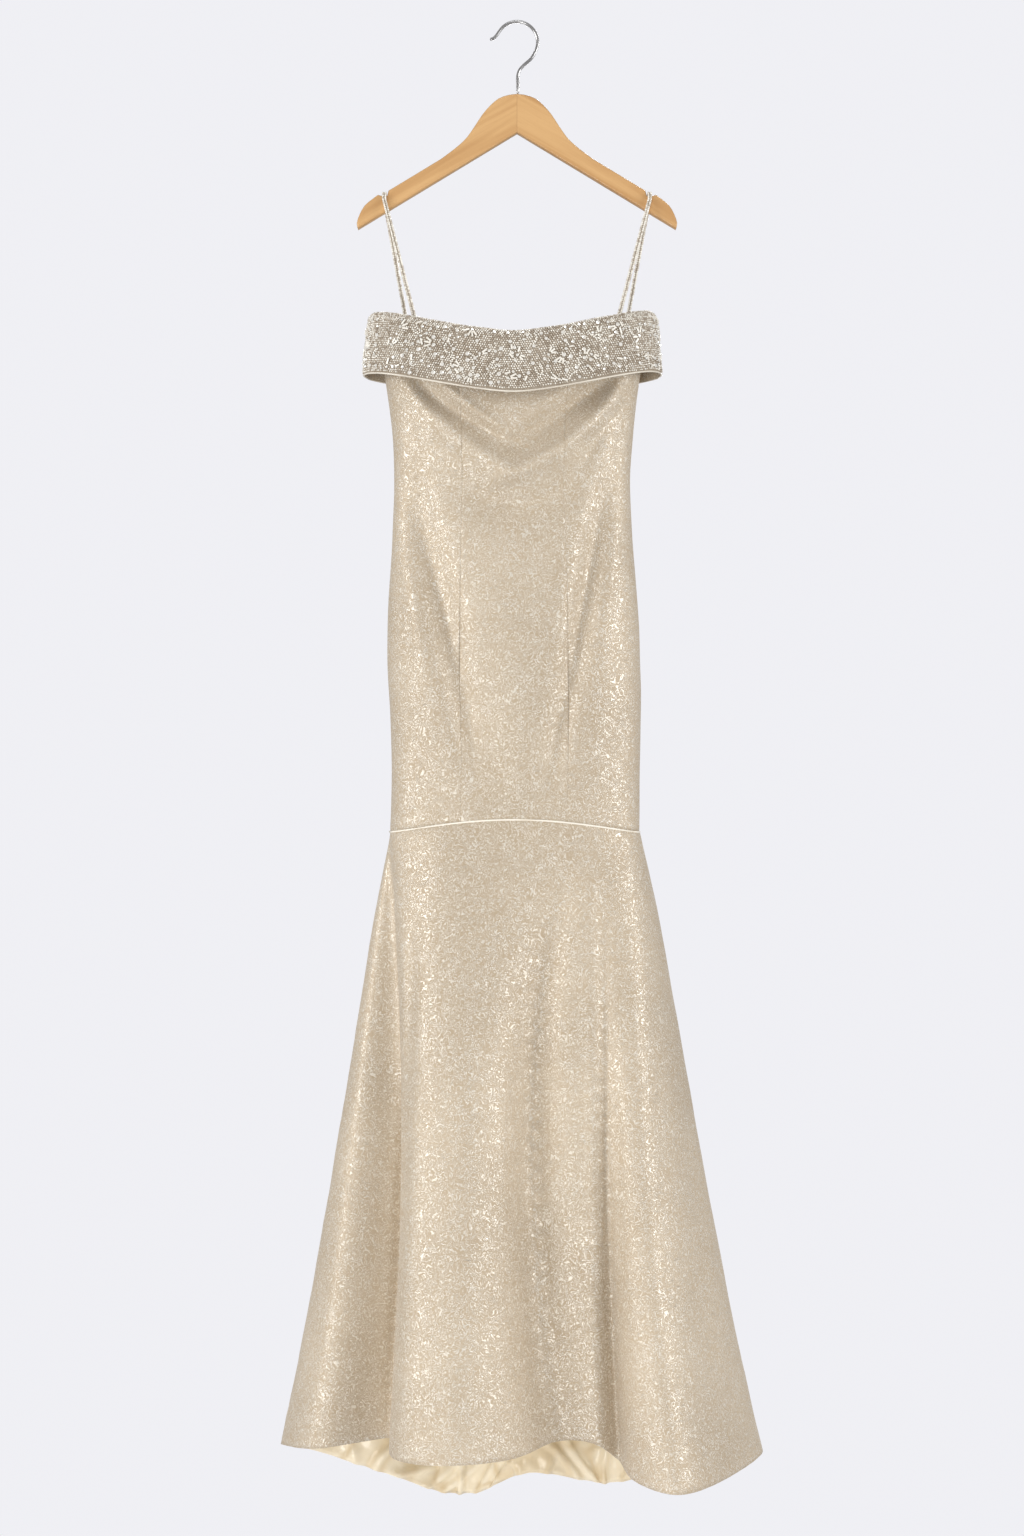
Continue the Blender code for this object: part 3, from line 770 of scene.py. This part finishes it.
def edgeRun(data, pick):
    # the picked cut edges in order, as points
    form = formOf(data)
    picked = {edge for edge in form.edges if edge.is_boundary and pick(edge)}
    ends = {}
    for edge in picked:
        for vert in edge.verts:
            ends.setdefault(vert, []).append(edge)
    starts = [vert for vert, edges in ends.items() if len(edges) == 1]
    vert = min(starts or ends, key=lambda v: v.co.x)
    run = [vert.co.copy()]
    while picked:
        edge = next((e for e in ends[vert] if e in picked), None)
        if edge is None:
            break
        picked.discard(edge)
        vert = edge.other_vert(vert)
        run.append(vert.co.copy())
    form.free()
    return run


def isLevel(edge):
    a, b = (vert.co for vert in edge.verts)
    return abs(a.z - b.z) < gown["levelShare"] * (a - b).length


def isHem(edge):
    return edge.verts[0].co.z < gown["skirtLowZ"]


def tubeAlong(name, points, radius, material, lift=0.0, drop=0.0, closed=False):
    curve = bpy.data.curves.new(name + "_path", "CURVE")
    curve.dimensions = "3D"
    curve.bevel_depth = radius
    curve.bevel_resolution = 2
    curve.use_fill_caps = True
    spline = curve.splines.new("POLY")
    spline.points.add(len(points) - 1)
    middle = Vector((*gown["centre"], 0))
    for place, point in zip(spline.points, points):
        away = Vector((point.x, point.y, 0)) - middle
        place.co = (*(point + away.normalized() * lift - Vector((0, 0, drop))), 1)
    spline.use_cyclic_u = closed
    spline.use_smooth = True
    data = evaluated(linked(curve.name, curve), name)
    bpy.data.curves.remove(curve)
    return addPiece(name, data, material)


welt = {
    "reach": 0.03,  # the skirt's top edges are no further below the thigh seam
    "radius": 0.0012,
    "lift": 0.0001,
    "drop": 0.0012,
}


def makeWelt():
    # the turned edge under the thigh seam, finished in cream as a painted highlight on its fold
    for name in ("skirt_front", "skirt_back"):
        low = gown["thighZ"] - welt["reach"]
        run = edgeRun(panelFaces[name], lambda e: isLevel(e) and e.verts[0].co.z > low)
        tubeAlong(
            name + "_welt", run, welt["radius"], finishes["welt"],
            lift=welt["lift"], drop=welt["drop"],
        )
        print("welt", name, len(run))


makeWelt()


# Band

band = {
    "levels": 2,
    "edgeCord": 0.0011,
    "edgeIn": 0.0006,
    "wave": 0.0006,
    "waveSize": 0.035,
    "waveReach": 0.01,
    "foldRadius": 0.0075,
    "foldInset": 0.009,
    "faceZ": -0.425,  # half way down the band's face
    "angles": 721,
    "castFrom": (0.5, 0.05, 0.03),  # to find the band, its face and its fold
    "castReach": 0.07,
    "sheets": {"collar_front": ((0.46, 0.115), 0.0498), "collar_back": ((0.37, 0.112), 0.0395)},
}


def makeBand():
    faces = {}
    for name, (flat, area) in band["sheets"].items():
        data = subdivided(outerSkin(name, gown["band"]), name + "_cloth", band["levels"])
        points, normals = readPoints(data)
        away = edgeDistance(data)
        height = band["wave"] * ripple(points, band["waveSize"], seed=5.0)
        height *= np.clip(away / band["waveReach"], 0, 1)
        writePoints(data, points + normals * height[:, None])
        addSeamAttribute(data, away)
        piece = addPiece(name + "_cloth", data, finishes["ground"])
        thicken(piece, gown["band"])
        piece.data.materials.append(finishes["brocade"])
        piece.modifiers["wall"].material_offset = 1
        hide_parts(name)
        run = edgeRun(data, lambda e: isLevel(e) and e.verts[0].co.z < gown["bandFoldZ"])
        tubeAlong(
            name + "_edge", run, band["edgeCord"], finishes["edging"], lift=-band["edgeIn"]
        )
        faces[name] = data
        print("band", name, len(data.polygons), len(run))
    return faces


bandFaces = makeBand()


class BandMap:
    # from lengths round the band and down its face to a place on the cloth
    def __init__(self):
        form = formOf(*bandFaces.values())
        self.tree = BVHTree.FromBMesh(form)
        form.free()
        self.middle = Vector((*gown["centre"], 0))
        self.angles = np.linspace(0, 2 * math.pi, band["angles"])
        self.rows = [self.measure(angle) for angle in self.angles]
        self.along = lengthsAlong([row[0].xy for row in self.rows])
        self.length = self.along[-1]

    def cast(self, start, way):
        place, normal, _, _ = self.tree.ray_cast(start, way)
        return (place, normal) if place else (None, None)

    def measure(self, angle):
        # the face half way down, and the core of the fold above it
        out = Vector((math.cos(angle), math.sin(angle), 0))
        start = self.middle + out * band["castFrom"][0] + Vector((0, 0, band["faceZ"]))
        place, normal = self.cast(start, -out)
        level = Vector((normal.x, normal.y, 0)).normalized()
        above = Vector((place.x, place.y, 0)) - level * band["foldInset"]
        top, _ = self.cast(above, Vector((0, 0, -1)))
        core = Vector((top.x, top.y, top.z - band["foldRadius"]))
        return place, level, core

    def at(self, length, down):
        # place, normal and the direction round the band
        length = length % self.length
        angle = np.interp(length, self.along, self.angles)
        share = angle / self.angles[1]
        i = min(int(share), len(self.rows) - 2)
        t = share - i
        level = self.rows[i][1].lerp(self.rows[i + 1][1], t).normalized()
        core = self.rows[i][2].lerp(self.rows[i + 1][2], t)
        if down >= 0:
            way = level
            start = core + Vector((0, 0, -down)) + level * band["castFrom"][1]
        else:
            turn = -down / band["foldRadius"]
            way = level * math.cos(turn) + Vector((0, 0, math.sin(turn)))
            start = core + way * band["castFrom"][2]
        place, normal = self.cast(start, -way)
        if place is None or (place - start).length > band["castReach"]:
            return None
        if normal.dot(way) < 0:
            normal = -normal
        course = Vector((-level.y, level.x, 0))
        return place, normal, course


bandMap = BandMap()
print("band measured", round(bandMap.length, 3))


# Beads

beads = {
    "seed": 0.00118,  # radius
    "row": 0.00132,  # radius of the beads in rows
    "rowStep": 0.00262,
    "beadStep": 0.0029,
    "top": -0.018,
    "bottom": 0.065,
    "edgeRoom": 0.003,  # stones and bugles end this far above the lower edge
    "stoneTop": -0.006,
    "stoneRadii": (0.0018, 0.002, 0.0022, 0.0024, 0.0027),
    "stoneCount": 340,
    "stoneNear": 0.012,  # how far apart they start, less after each miss
    "stoneMiss": 0.9995,
    "stoneOut": 0.0006,
    "fanCount": 110,
    "fanBugles": (1, 1, 2, 3),
    "fanStep": (0.42, 0.62),
    "fanGap": 0.0016,
    "bugleTop": -0.008,
    "bugleLength": 0.0074,
    "bugleScale": (0.75, 1.1),
    "bugleRadius": 0.0012,
    "bugleOut": 0.0003,
    "bugleRoom": (0.16, 0.0008),  # a share of its length when placed, then at each spot
    "bugleSpots": (-0.42, -0.14, 0.14, 0.42),
    "arcCount": 110,
    "arcBeads": (3, 7),
    "arcBend": (0.005, 0.014),
    "arcTop": -0.012,
    "arcEdge": (0.004, 0.002),  # an arc's middle and its beads end this far above the edge
    "arcRoom": (0.0008, 0.0009),
    # where the ground's beads stray to, along and down: reach, turns a metre, seed, jitter
    "wander": (0.0007, 70, 1.0, 0.00025),
    "rowWander": (0.0012, 55, 7.0, 0.00022),
    "seedScale": (0.88, 1.06),
    "seedRoom": 0.55,
    "seedTints": (0.0, 0.1, 0.3, 0.5, 0.65, 0.8, 0.95, 1.0),
    "tintJitter": 0.04,
}


def seedTemplate():
    form = bmesh.new()
    bmesh.ops.create_icosphere(form, subdivisions=1, radius=1)
    low = min(form.verts, key=lambda vert: vert.co.z)
    bmesh.ops.delete(form, geom=[low], context="VERTS")
    return form


def stoneTemplate():
    form = bmesh.new()
    bmesh.ops.create_cone(form, cap_ends=True, segments=9, radius1=1, radius2=0.56, depth=0.5)
    bmesh.ops.translate(form, verts=form.verts, vec=(0, 0, 0.45))
    under = [face for face in form.faces if face.normal.z < -0.5]
    skirt = bmesh.ops.extrude_face_region(form, geom=under)
    lowered = [item for item in skirt["geom"] if isinstance(item, bmesh.types.BMVert)]
    bmesh.ops.translate(form, verts=lowered, vec=(0, 0, -0.35))
    return form


def bugleTemplate():
    form = bmesh.new()
    bmesh.ops.create_cone(form, cap_ends=True, segments=6, radius1=1, radius2=1, depth=2)
    bmesh.ops.rotate(form, verts=form.verts, matrix=Matrix.Rotation(math.radians(90), 3, "Y"))
    return form


def ballTemplate():
    form = bmesh.new()
    bmesh.ops.create_uvsphere(form, u_segments=7, v_segments=4, radius=1)
    return form


def joinCopies(name, form, places, material, smooth=True):
    # one mesh of many copies; a place is origin, three axes with their sizes, and a tint
    origins, axes, tints = map(np.array, zip(*filter(None, places)))
    form.verts.ensure_lookup_table()
    shape = np.array([vert.co for vert in form.verts])
    faces = [[vert.index for vert in face.verts] for face in form.faces]
    form.free()
    points = origins[:, None, :] + np.einsum("vk,nkj->nvj", shape, axes)
    count = len(shape)
    every = [[k + i * count for k in face] for i in range(len(origins)) for face in faces]
    data = bpy.data.meshes.new(name)
    data.from_pydata(points.reshape(-1, 3).tolist(), [], every)
    layer = data.attributes.new("tint", "FLOAT", "POINT")
    layer.data.foreach_set("value", np.repeat(tints, count).astype(np.float32))
    if smooth:
        data.shade_smooth()
    piece = addPiece(name, data, material)
    print("beads", name, len(origins), len(every))
    return piece


def onBand(length, down, turn, size, tint, out):
    # a bead's place on the band, turned there and sized along, across and outward
    found = bandMap.at(length, down)
    if found is None:
        return None
    place, normal, course = found
    course = (course - normal * course.dot(normal)).normalized()
    other = normal.cross(course)
    first = course * math.cos(turn) + other * math.sin(turn)
    second = normal.cross(first)
    axes = [list(first * size[0]), list(second * size[1]), list(normal * size[2])]
    return list(place + normal * out), axes, tint


def aroundPlace(length, down, away, turn):
    return length + away * math.cos(turn), down + away * math.sin(turn)


def wandering(a, down, settings, draw):
    reach, turns, seed, jitter = settings
    return reach * noise.noise(Vector((a * turns, down * turns, seed))) + draw.uniform(-jitter, jitter)


def makeBeadwork():
    draw = random.Random(41)
    taken = []  # length, down and half size of what lies over the ground
    stones, bugles, arcs = [], [], []
    near = beads["stoneNear"]
    lowest = beads["bottom"] - beads["edgeRoom"]

    def free(length, down, room):
        return all((length - a) ** 2 + (down - b) ** 2 > (room + c) ** 2 for a, b, c in taken)

    while len(stones) < beads["stoneCount"]:
        length = draw.uniform(0, bandMap.length)
        down = draw.uniform(beads["stoneTop"], lowest)
        radius = draw.choice(beads["stoneRadii"])
        if not free(length, down, near / 2 - 0.001):
            near *= beads["stoneMiss"]
            continue
        stones.append((length, down, radius))
        taken.append(stones[-1])
    share, room = beads["bugleRoom"]
    for _ in range(beads["fanCount"]):
        length, down, radius = draw.choice(stones)
        start = draw.uniform(0, 2 * math.pi)
        step = draw.uniform(*beads["fanStep"])
        long = draw.uniform(*beads["bugleScale"]) * beads["bugleLength"]
        for k in range(draw.choice(beads["fanBugles"])):
            turn = start + k * step
            a, b = aroundPlace(length, down, radius + beads["fanGap"] + long / 2, turn)
            if beads["bugleTop"] < b < lowest and free(a, b, long * share):
                bugles.append((a, b, -turn, long))
                for spot in beads["bugleSpots"]:
                    taken.append((*aroundPlace(a, b, spot * long, turn), room))
    middleEdge, beadEdge = (beads["bottom"] - edge for edge in beads["arcEdge"])
    before, after = beads["arcRoom"]
    for _ in range(beads["arcCount"]):
        length = draw.uniform(0, bandMap.length)
        down = draw.uniform(0, middleEdge)
        bend = draw.uniform(*beads["arcBend"])
        start = draw.uniform(0, 2 * math.pi)
        way = draw.choice((-1, 1))
        arc = []
        for k in range(draw.randint(*beads["arcBeads"])):
            a, b = aroundPlace(length, down, bend, start + way * k * beads["beadStep"] / bend)
            if beads["arcTop"] < b < beadEdge and free(a, b, before):
                arc.append((a, b))
        arcs += arc
        taken.extend((a, b, after) for a, b in arc)
    over = treeOf([(a, b, 0) for a, b, _ in taken])
    stonePlaces = (
        onBand(a, b, draw.uniform(0, 1), (r, r, r * 0.9), draw.random(), beads["stoneOut"])
        for a, b, r in stones
    )
    joinCopies("band_stones", stoneTemplate(), stonePlaces, finishes["stones"], smooth=False)
    thick = beads["bugleRadius"]
    buglePlaces = (
        onBand(a, b, turn, (long / 2, thick, thick), draw.uniform(0.8, 1.0), thick + beads["bugleOut"])
        for a, b, turn, long in bugles
    )
    joinCopies("band_bugles", bugleTemplate(), buglePlaces, finishes["beads"], smooth=False)
    big = beads["row"]
    arcPlaces = (
        onBand(a, b, draw.random(), (big, big, big), draw.uniform(0.8, 1.0), big * 0.7)
        for a, b in arcs
    )
    joinCopies("band_bead_rows", seedTemplate(), arcPlaces, finishes["beads"])
    size = beads["seed"]
    ground = {"front": [], "back": []}
    rows = int((beads["bottom"] - beads["top"]) / beads["rowStep"])
    for row in range(rows + 1):
        down = beads["top"] + row * beads["rowStep"]
        around = int(bandMap.length / beads["beadStep"])
        for k in range(around):
            a = (k + 0.5 * (row % 2)) * bandMap.length / around
            a += wandering(a, down, beads["wander"], draw)
            b = down + wandering(a, down, beads["rowWander"], draw)
            _, i, gap = over.find((a, b, 0))
            if gap < taken[i][2] + size * beads["seedRoom"]:
                continue
            tint = draw.choice(beads["seedTints"])
            tint = min(max(tint + draw.uniform(-beads["tintJitter"], beads["tintJitter"]), 0), 1)
            r = size * draw.uniform(*beads["seedScale"])
            found = onBand(a, b, draw.uniform(0, 3), (r, r, r * 0.85), tint, size * 0.4)
            if found:
                ground["front" if found[0][1] < gown["centre"][1] else "back"].append(found)
    for side, places in ground.items():
        joinCopies("band_beads_" + side, seedTemplate(), places, finishes["beads"])


makeBeadwork()


# Straps

strap = {
    "radius": 0.00132,
    "aside": 0.0015,
    "above": 0.00095,
    "step": 0.00255,
    "ends": 0.0012,
    "scale": (0.94, 1.04),
    "length": 0.94,  # of a bead along the strap, as a share of its width
    "core": 0.0013,
    "tints": (0.3, 0.5, 0.7, 0.9, 1.0, 1.0),
    # x of the loop, half its width across the hanger, height of its top
    "notch": (0.165, 0.0092, -0.2128),
    # the loop's way over the hanger: out from its side, below its top
    "turn": ((0.0006, 0.0085), (0.0, 0.0055), (-0.0016, 0.0018), (-0.005, 0.0)),
    # in front and behind: the sewn end, and where the strap comes over the neckline
    "left": (
        ((-0.1198, -0.056, -0.4084), (-0.1198, -0.056, -0.3995)),
        ((-0.1351, 0.0249, -0.3974), (-0.1351, 0.0248, -0.3883)),
    ),
    "right": (
        ((0.1192, -0.0521, -0.4041), (0.1192, -0.0521, -0.3952)),
        ((0.1343, 0.0188, -0.3961), (0.1344, 0.0188, -0.387)),
    ),
}


def strapRoute(side, way):
    front, back = strap[side]
    x, half, top = strap["notch"]
    up = [(way * x, -half - out, top - below) for out, below in strap["turn"]]
    down = [(way * x, half + out, top - below) for out, below in reversed(strap["turn"])]
    return np.array([*front, *up, *down, *reversed(back)])


def makeStraps():
    for side, way in (("left", -1), ("right", 1)):
        draw = random.Random(7 + way)
        route = strapRoute(side, way)
        along = lengthsAlong(route)
        count = int(along[-1] / strap["step"])
        at = np.linspace(strap["ends"], along[-1] - strap["ends"], count)
        centre = np.stack([np.interp(at, along, route[:, k]) for k in range(3)], axis=1)
        course = np.gradient(centre, axis=0)
        course /= np.linalg.norm(course, axis=1, keepdims=True)
        places = []
        for row in range(4):
            aside = strap["aside"] if row % 2 else -strap["aside"]
            above = strap["above"] if row > 1 else -strap["above"]
            for point, forward in zip(centre, course):
                forward = Vector(forward)
                sideways = Vector((1, 0, 0)) - forward * forward.x
                sideways.normalize()
                up = forward.cross(sideways)
                place = Vector(point) + sideways * aside + up * above
                size = strap["radius"] * draw.uniform(*strap["scale"])
                axes = [list(sideways * size), list(up * size), list(forward * size * strap["length"])]
                tint = draw.choice(strap["tints"])
                places.append((list(place), axes, tint))
        name = "strap_" + side
        piece = joinCopies(name + "_beads", ballTemplate(), places, finishes["beads"])
        run = [Vector(point) for point in route]
        tubeAlong(name + "_cord", run, strap["core"], finishes["ground"])
        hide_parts(name)


makeStraps()


# Lining

lining = {
    "levels": 2,
    "fineBelow": (-1.65, -1.705),  # the mesh is twice as fine below each of these
    "edgeCord": 0.001,
    "under": 0.0036,  # least way in from the skirt's outer face
    "fade": 0.075,
    "sway": (0.004, 70, 90),  # of a fold: reach, turns a metre up it, and along the hem
    "widen": 6,  # of a fold, for each metre up
    "turned": 0.25,
    "front": (0.0024, (1, 1, 0.35), 0.016, 2.0),  # depth, stretch, size and seed of the front's folds
    "crumple": (0.002, 0.6, 0.014, 9.0),
    "flat": (1.75, 0.84),
    "area": 0.892,
    "foldHeight": 0.06,
    # in mm, for those under the front hem: x at its edge, x at foldHeight, depth, half width
    "folds": (
        (-204, -226, 5, 7),
        (-176, -136, 6.2, 7.5),
        (-150, -78, 6.2, 6.8),
        (-122, -48, 8, 7),
        (-90, -20, 6.4, 6.4),
        (-71.5, -75, 8, 3.6),
        (-52, 12, 7.4, 7),
        (-22, 46, 6, 6.4),
        (4, -30, 5.4, 6.2),
        (34, 60, 6, 6.6),
        (74, 12, 7, 7),
        (98, 50, 6.2, 5.6),
        (113, 112, 9.5, 5),
        (138, 166, 5, 7),
        (170, 140, 5.4, 7),
        (204, 224, 4.8, 7.5),
        (236, 214, 4.6, 7.5),
    ),
}


def liningFolds(points, normals, hem):
    # folds in the lining's back near its hem, and softer ones round the front
    low = points[:, 2] - hem
    fade = np.exp(-((low / lining["fade"]) ** 2))
    depth = np.zeros(len(points))
    sway, up, aside = lining["sway"]
    for x0, x1, deep, wide in np.array(lining["folds"]) / 1000:
        middle = x0 + (x1 - x0) * low / lining["foldHeight"] + sway * np.sin(low * up + x0 * aside)
        spread = wide * (1 + low * lining["widen"])
        depth += deep * np.exp(-(((points[:, 0] - middle) / spread) ** 2))
    turned = normals[:, 1] / lining["turned"]
    depth *= np.clip(turned, 0, 1) * fade
    deep, stretch, size, seed = lining["front"]
    depth += np.clip(-turned, 0, 1) * fade * deep * (1 + ripple(points * stretch, size, seed))
    deep, least, size, seed = lining["crumple"]
    return depth + fade * deep * (least + ripple(points, size, seed))


def hemHeights(points, data):
    # height of the nearest stretch of hem under each point
    run = edgeRun(data, isHem)
    tree = treeOf([(point.x, point.y, 0) for point in run])
    return np.array([run[tree.find((x, y, 0))[1]].z for x, y, _ in points])


def keptUnder(points):
    # puts every point well inside the skirt's outer face
    form = formOf(panelFaces["skirt_front"], panelFaces["skirt_back"])
    tree = BVHTree.FromBMesh(form)
    form.free()
    kept = points.copy()
    for i, point in enumerate(points):
        place, normal, _, _ = tree.find_nearest(Vector(point))
        under = (place - Vector(point)).dot(normal)
        if under < lining["under"]:
            kept[i] -= np.array(normal) * (lining["under"] - under)
    return kept


def makeLining():
    name = "skirt_lining"
    data = subdivided(outerSkin(name, gown["lining"]), name + "_cloth", lining["levels"])
    form = formOf(data)
    for height in lining["fineBelow"]:
        low = [edge for edge in form.edges if min(vert.co.z for vert in edge.verts) < height]
        bmesh.ops.subdivide_edges(form, edges=low, cuts=1, use_grid_fill=True)
    form.to_mesh(data)
    form.free()
    data.shade_smooth()
    data.update()
    points, normals = readPoints(data)
    hem = hemHeights(points, data)
    depth = liningFolds(points, normals, hem)
    points[:, 1] -= np.minimum(creaseHeight(points, normals, skirtFrontCreases, -1), 0)
    points[:, 1] += np.minimum(creaseHeight(points, normals, skirtBackCreases, 1), 0)
    writePoints(data, keptUnder(points - normals * (1, 1, 0.2) * depth[:, None]))
    piece = addPiece(name + "_cloth", data, finishes["satin"])
    addWall(piece, gown["lining"])
    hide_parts(name)
    run = edgeRun(data, isHem)
    tubeAlong(name + "_edge", run[:-1], lining["edgeCord"], finishes["satin"], closed=True)
    print("lining", len(data.polygons), len(run))


makeLining()


# Zip

zipper = {
    "solid": 0.0014,
    "tape": 0.0013,
    "levels": 2,
    "toothStep": 0.0014,
    "tooth": (0.00085, 0.00042, 0.00034),
    "aside": 0.0006,
    "lean": 0.00025,
    "inside": 0.00174,
    "ends": 0.004,
    "tint": 0.3,
    "flat": (0.016, 0.42),
    "area": 0.0066,
}


def makeZip():
    name = "back_zip"
    data = subdivided(outerSkin(name, zipper["solid"]), name + "_tape", zipper["levels"])
    points, _ = readPoints(data)
    piece = addPiece(name + "_tape", data, finishes["tape"])
    addWall(piece, zipper["tape"])
    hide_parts(name)
    tree = treeOf(points)
    middle, outer = points[:, 0].mean(), points[:, 1].max()
    top, bottom = points[:, 2].max() - zipper["ends"], points[:, 2].min() + zipper["ends"]
    places = []
    count = int((top - bottom) / zipper["toothStep"])
    for k in range(count):
        z = top - k * zipper["toothStep"]
        near, _, _ = tree.find((middle, outer, z))
        side = 1 if k % 2 else -1
        place = [middle + side * zipper["aside"], near.y - zipper["inside"], z]
        long, thick, tall = zipper["tooth"]
        axes = [[long, 0, side * zipper["lean"]], [0, thick, 0], [0, 0, tall]]
        places.append((place, axes, zipper["tint"]))
    joinCopies("back_zip_teeth", ballTemplate(), places, finishes["tape"])


makeZip()


# Hanger

hanger = {
    "flatAngle": 0.6,  # degrees between faces that become one
    "wireLevels": 1,
}


def makeHanger():
    form = merged("hanger_body")
    angle = math.radians(hanger["flatAngle"])
    bmesh.ops.dissolve_limit(form, angle_limit=angle, verts=form.verts, edges=form.edges)
    data = toMesh(form, "hanger_wood")
    piece = addPiece("hanger_wood", data, finishes["wood"])
    piece.modifiers.new("flat faces", "WEIGHTED_NORMAL").keep_sharp = True
    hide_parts("hanger_body")
    form = merged("hanger_hook")
    toQuads(form)
    wire = subdivided(form, "hanger_wire", hanger["wireLevels"])
    wire.shade_smooth()
    hook = addPiece("hanger_wire", wire, finishes["chrome"])
    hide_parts("hanger_hook")
    print("hanger", len(data.polygons), len(wire.polygons))


makeHanger()


# Floor

def makeFloor():
    form = bmesh.new()
    bmesh.ops.create_circle(form, cap_ends=True, segments=96, radius=studio["floorRadius"])
    bmesh.ops.translate(form, verts=form.verts, vec=(0, 0, studio["floorZ"]))
    data = toMesh(form, "floor")
    make = Finish("floor", Roughness=0.8)
    tone = make.noise(make.place(), 2.0, 2.0)
    colour = make.mix(tone, *studio["floorColours"])
    data.materials.append(make.wire(Base_Color=colour))
    linked("floor", data)
    print("floor ready")


makeFloor()
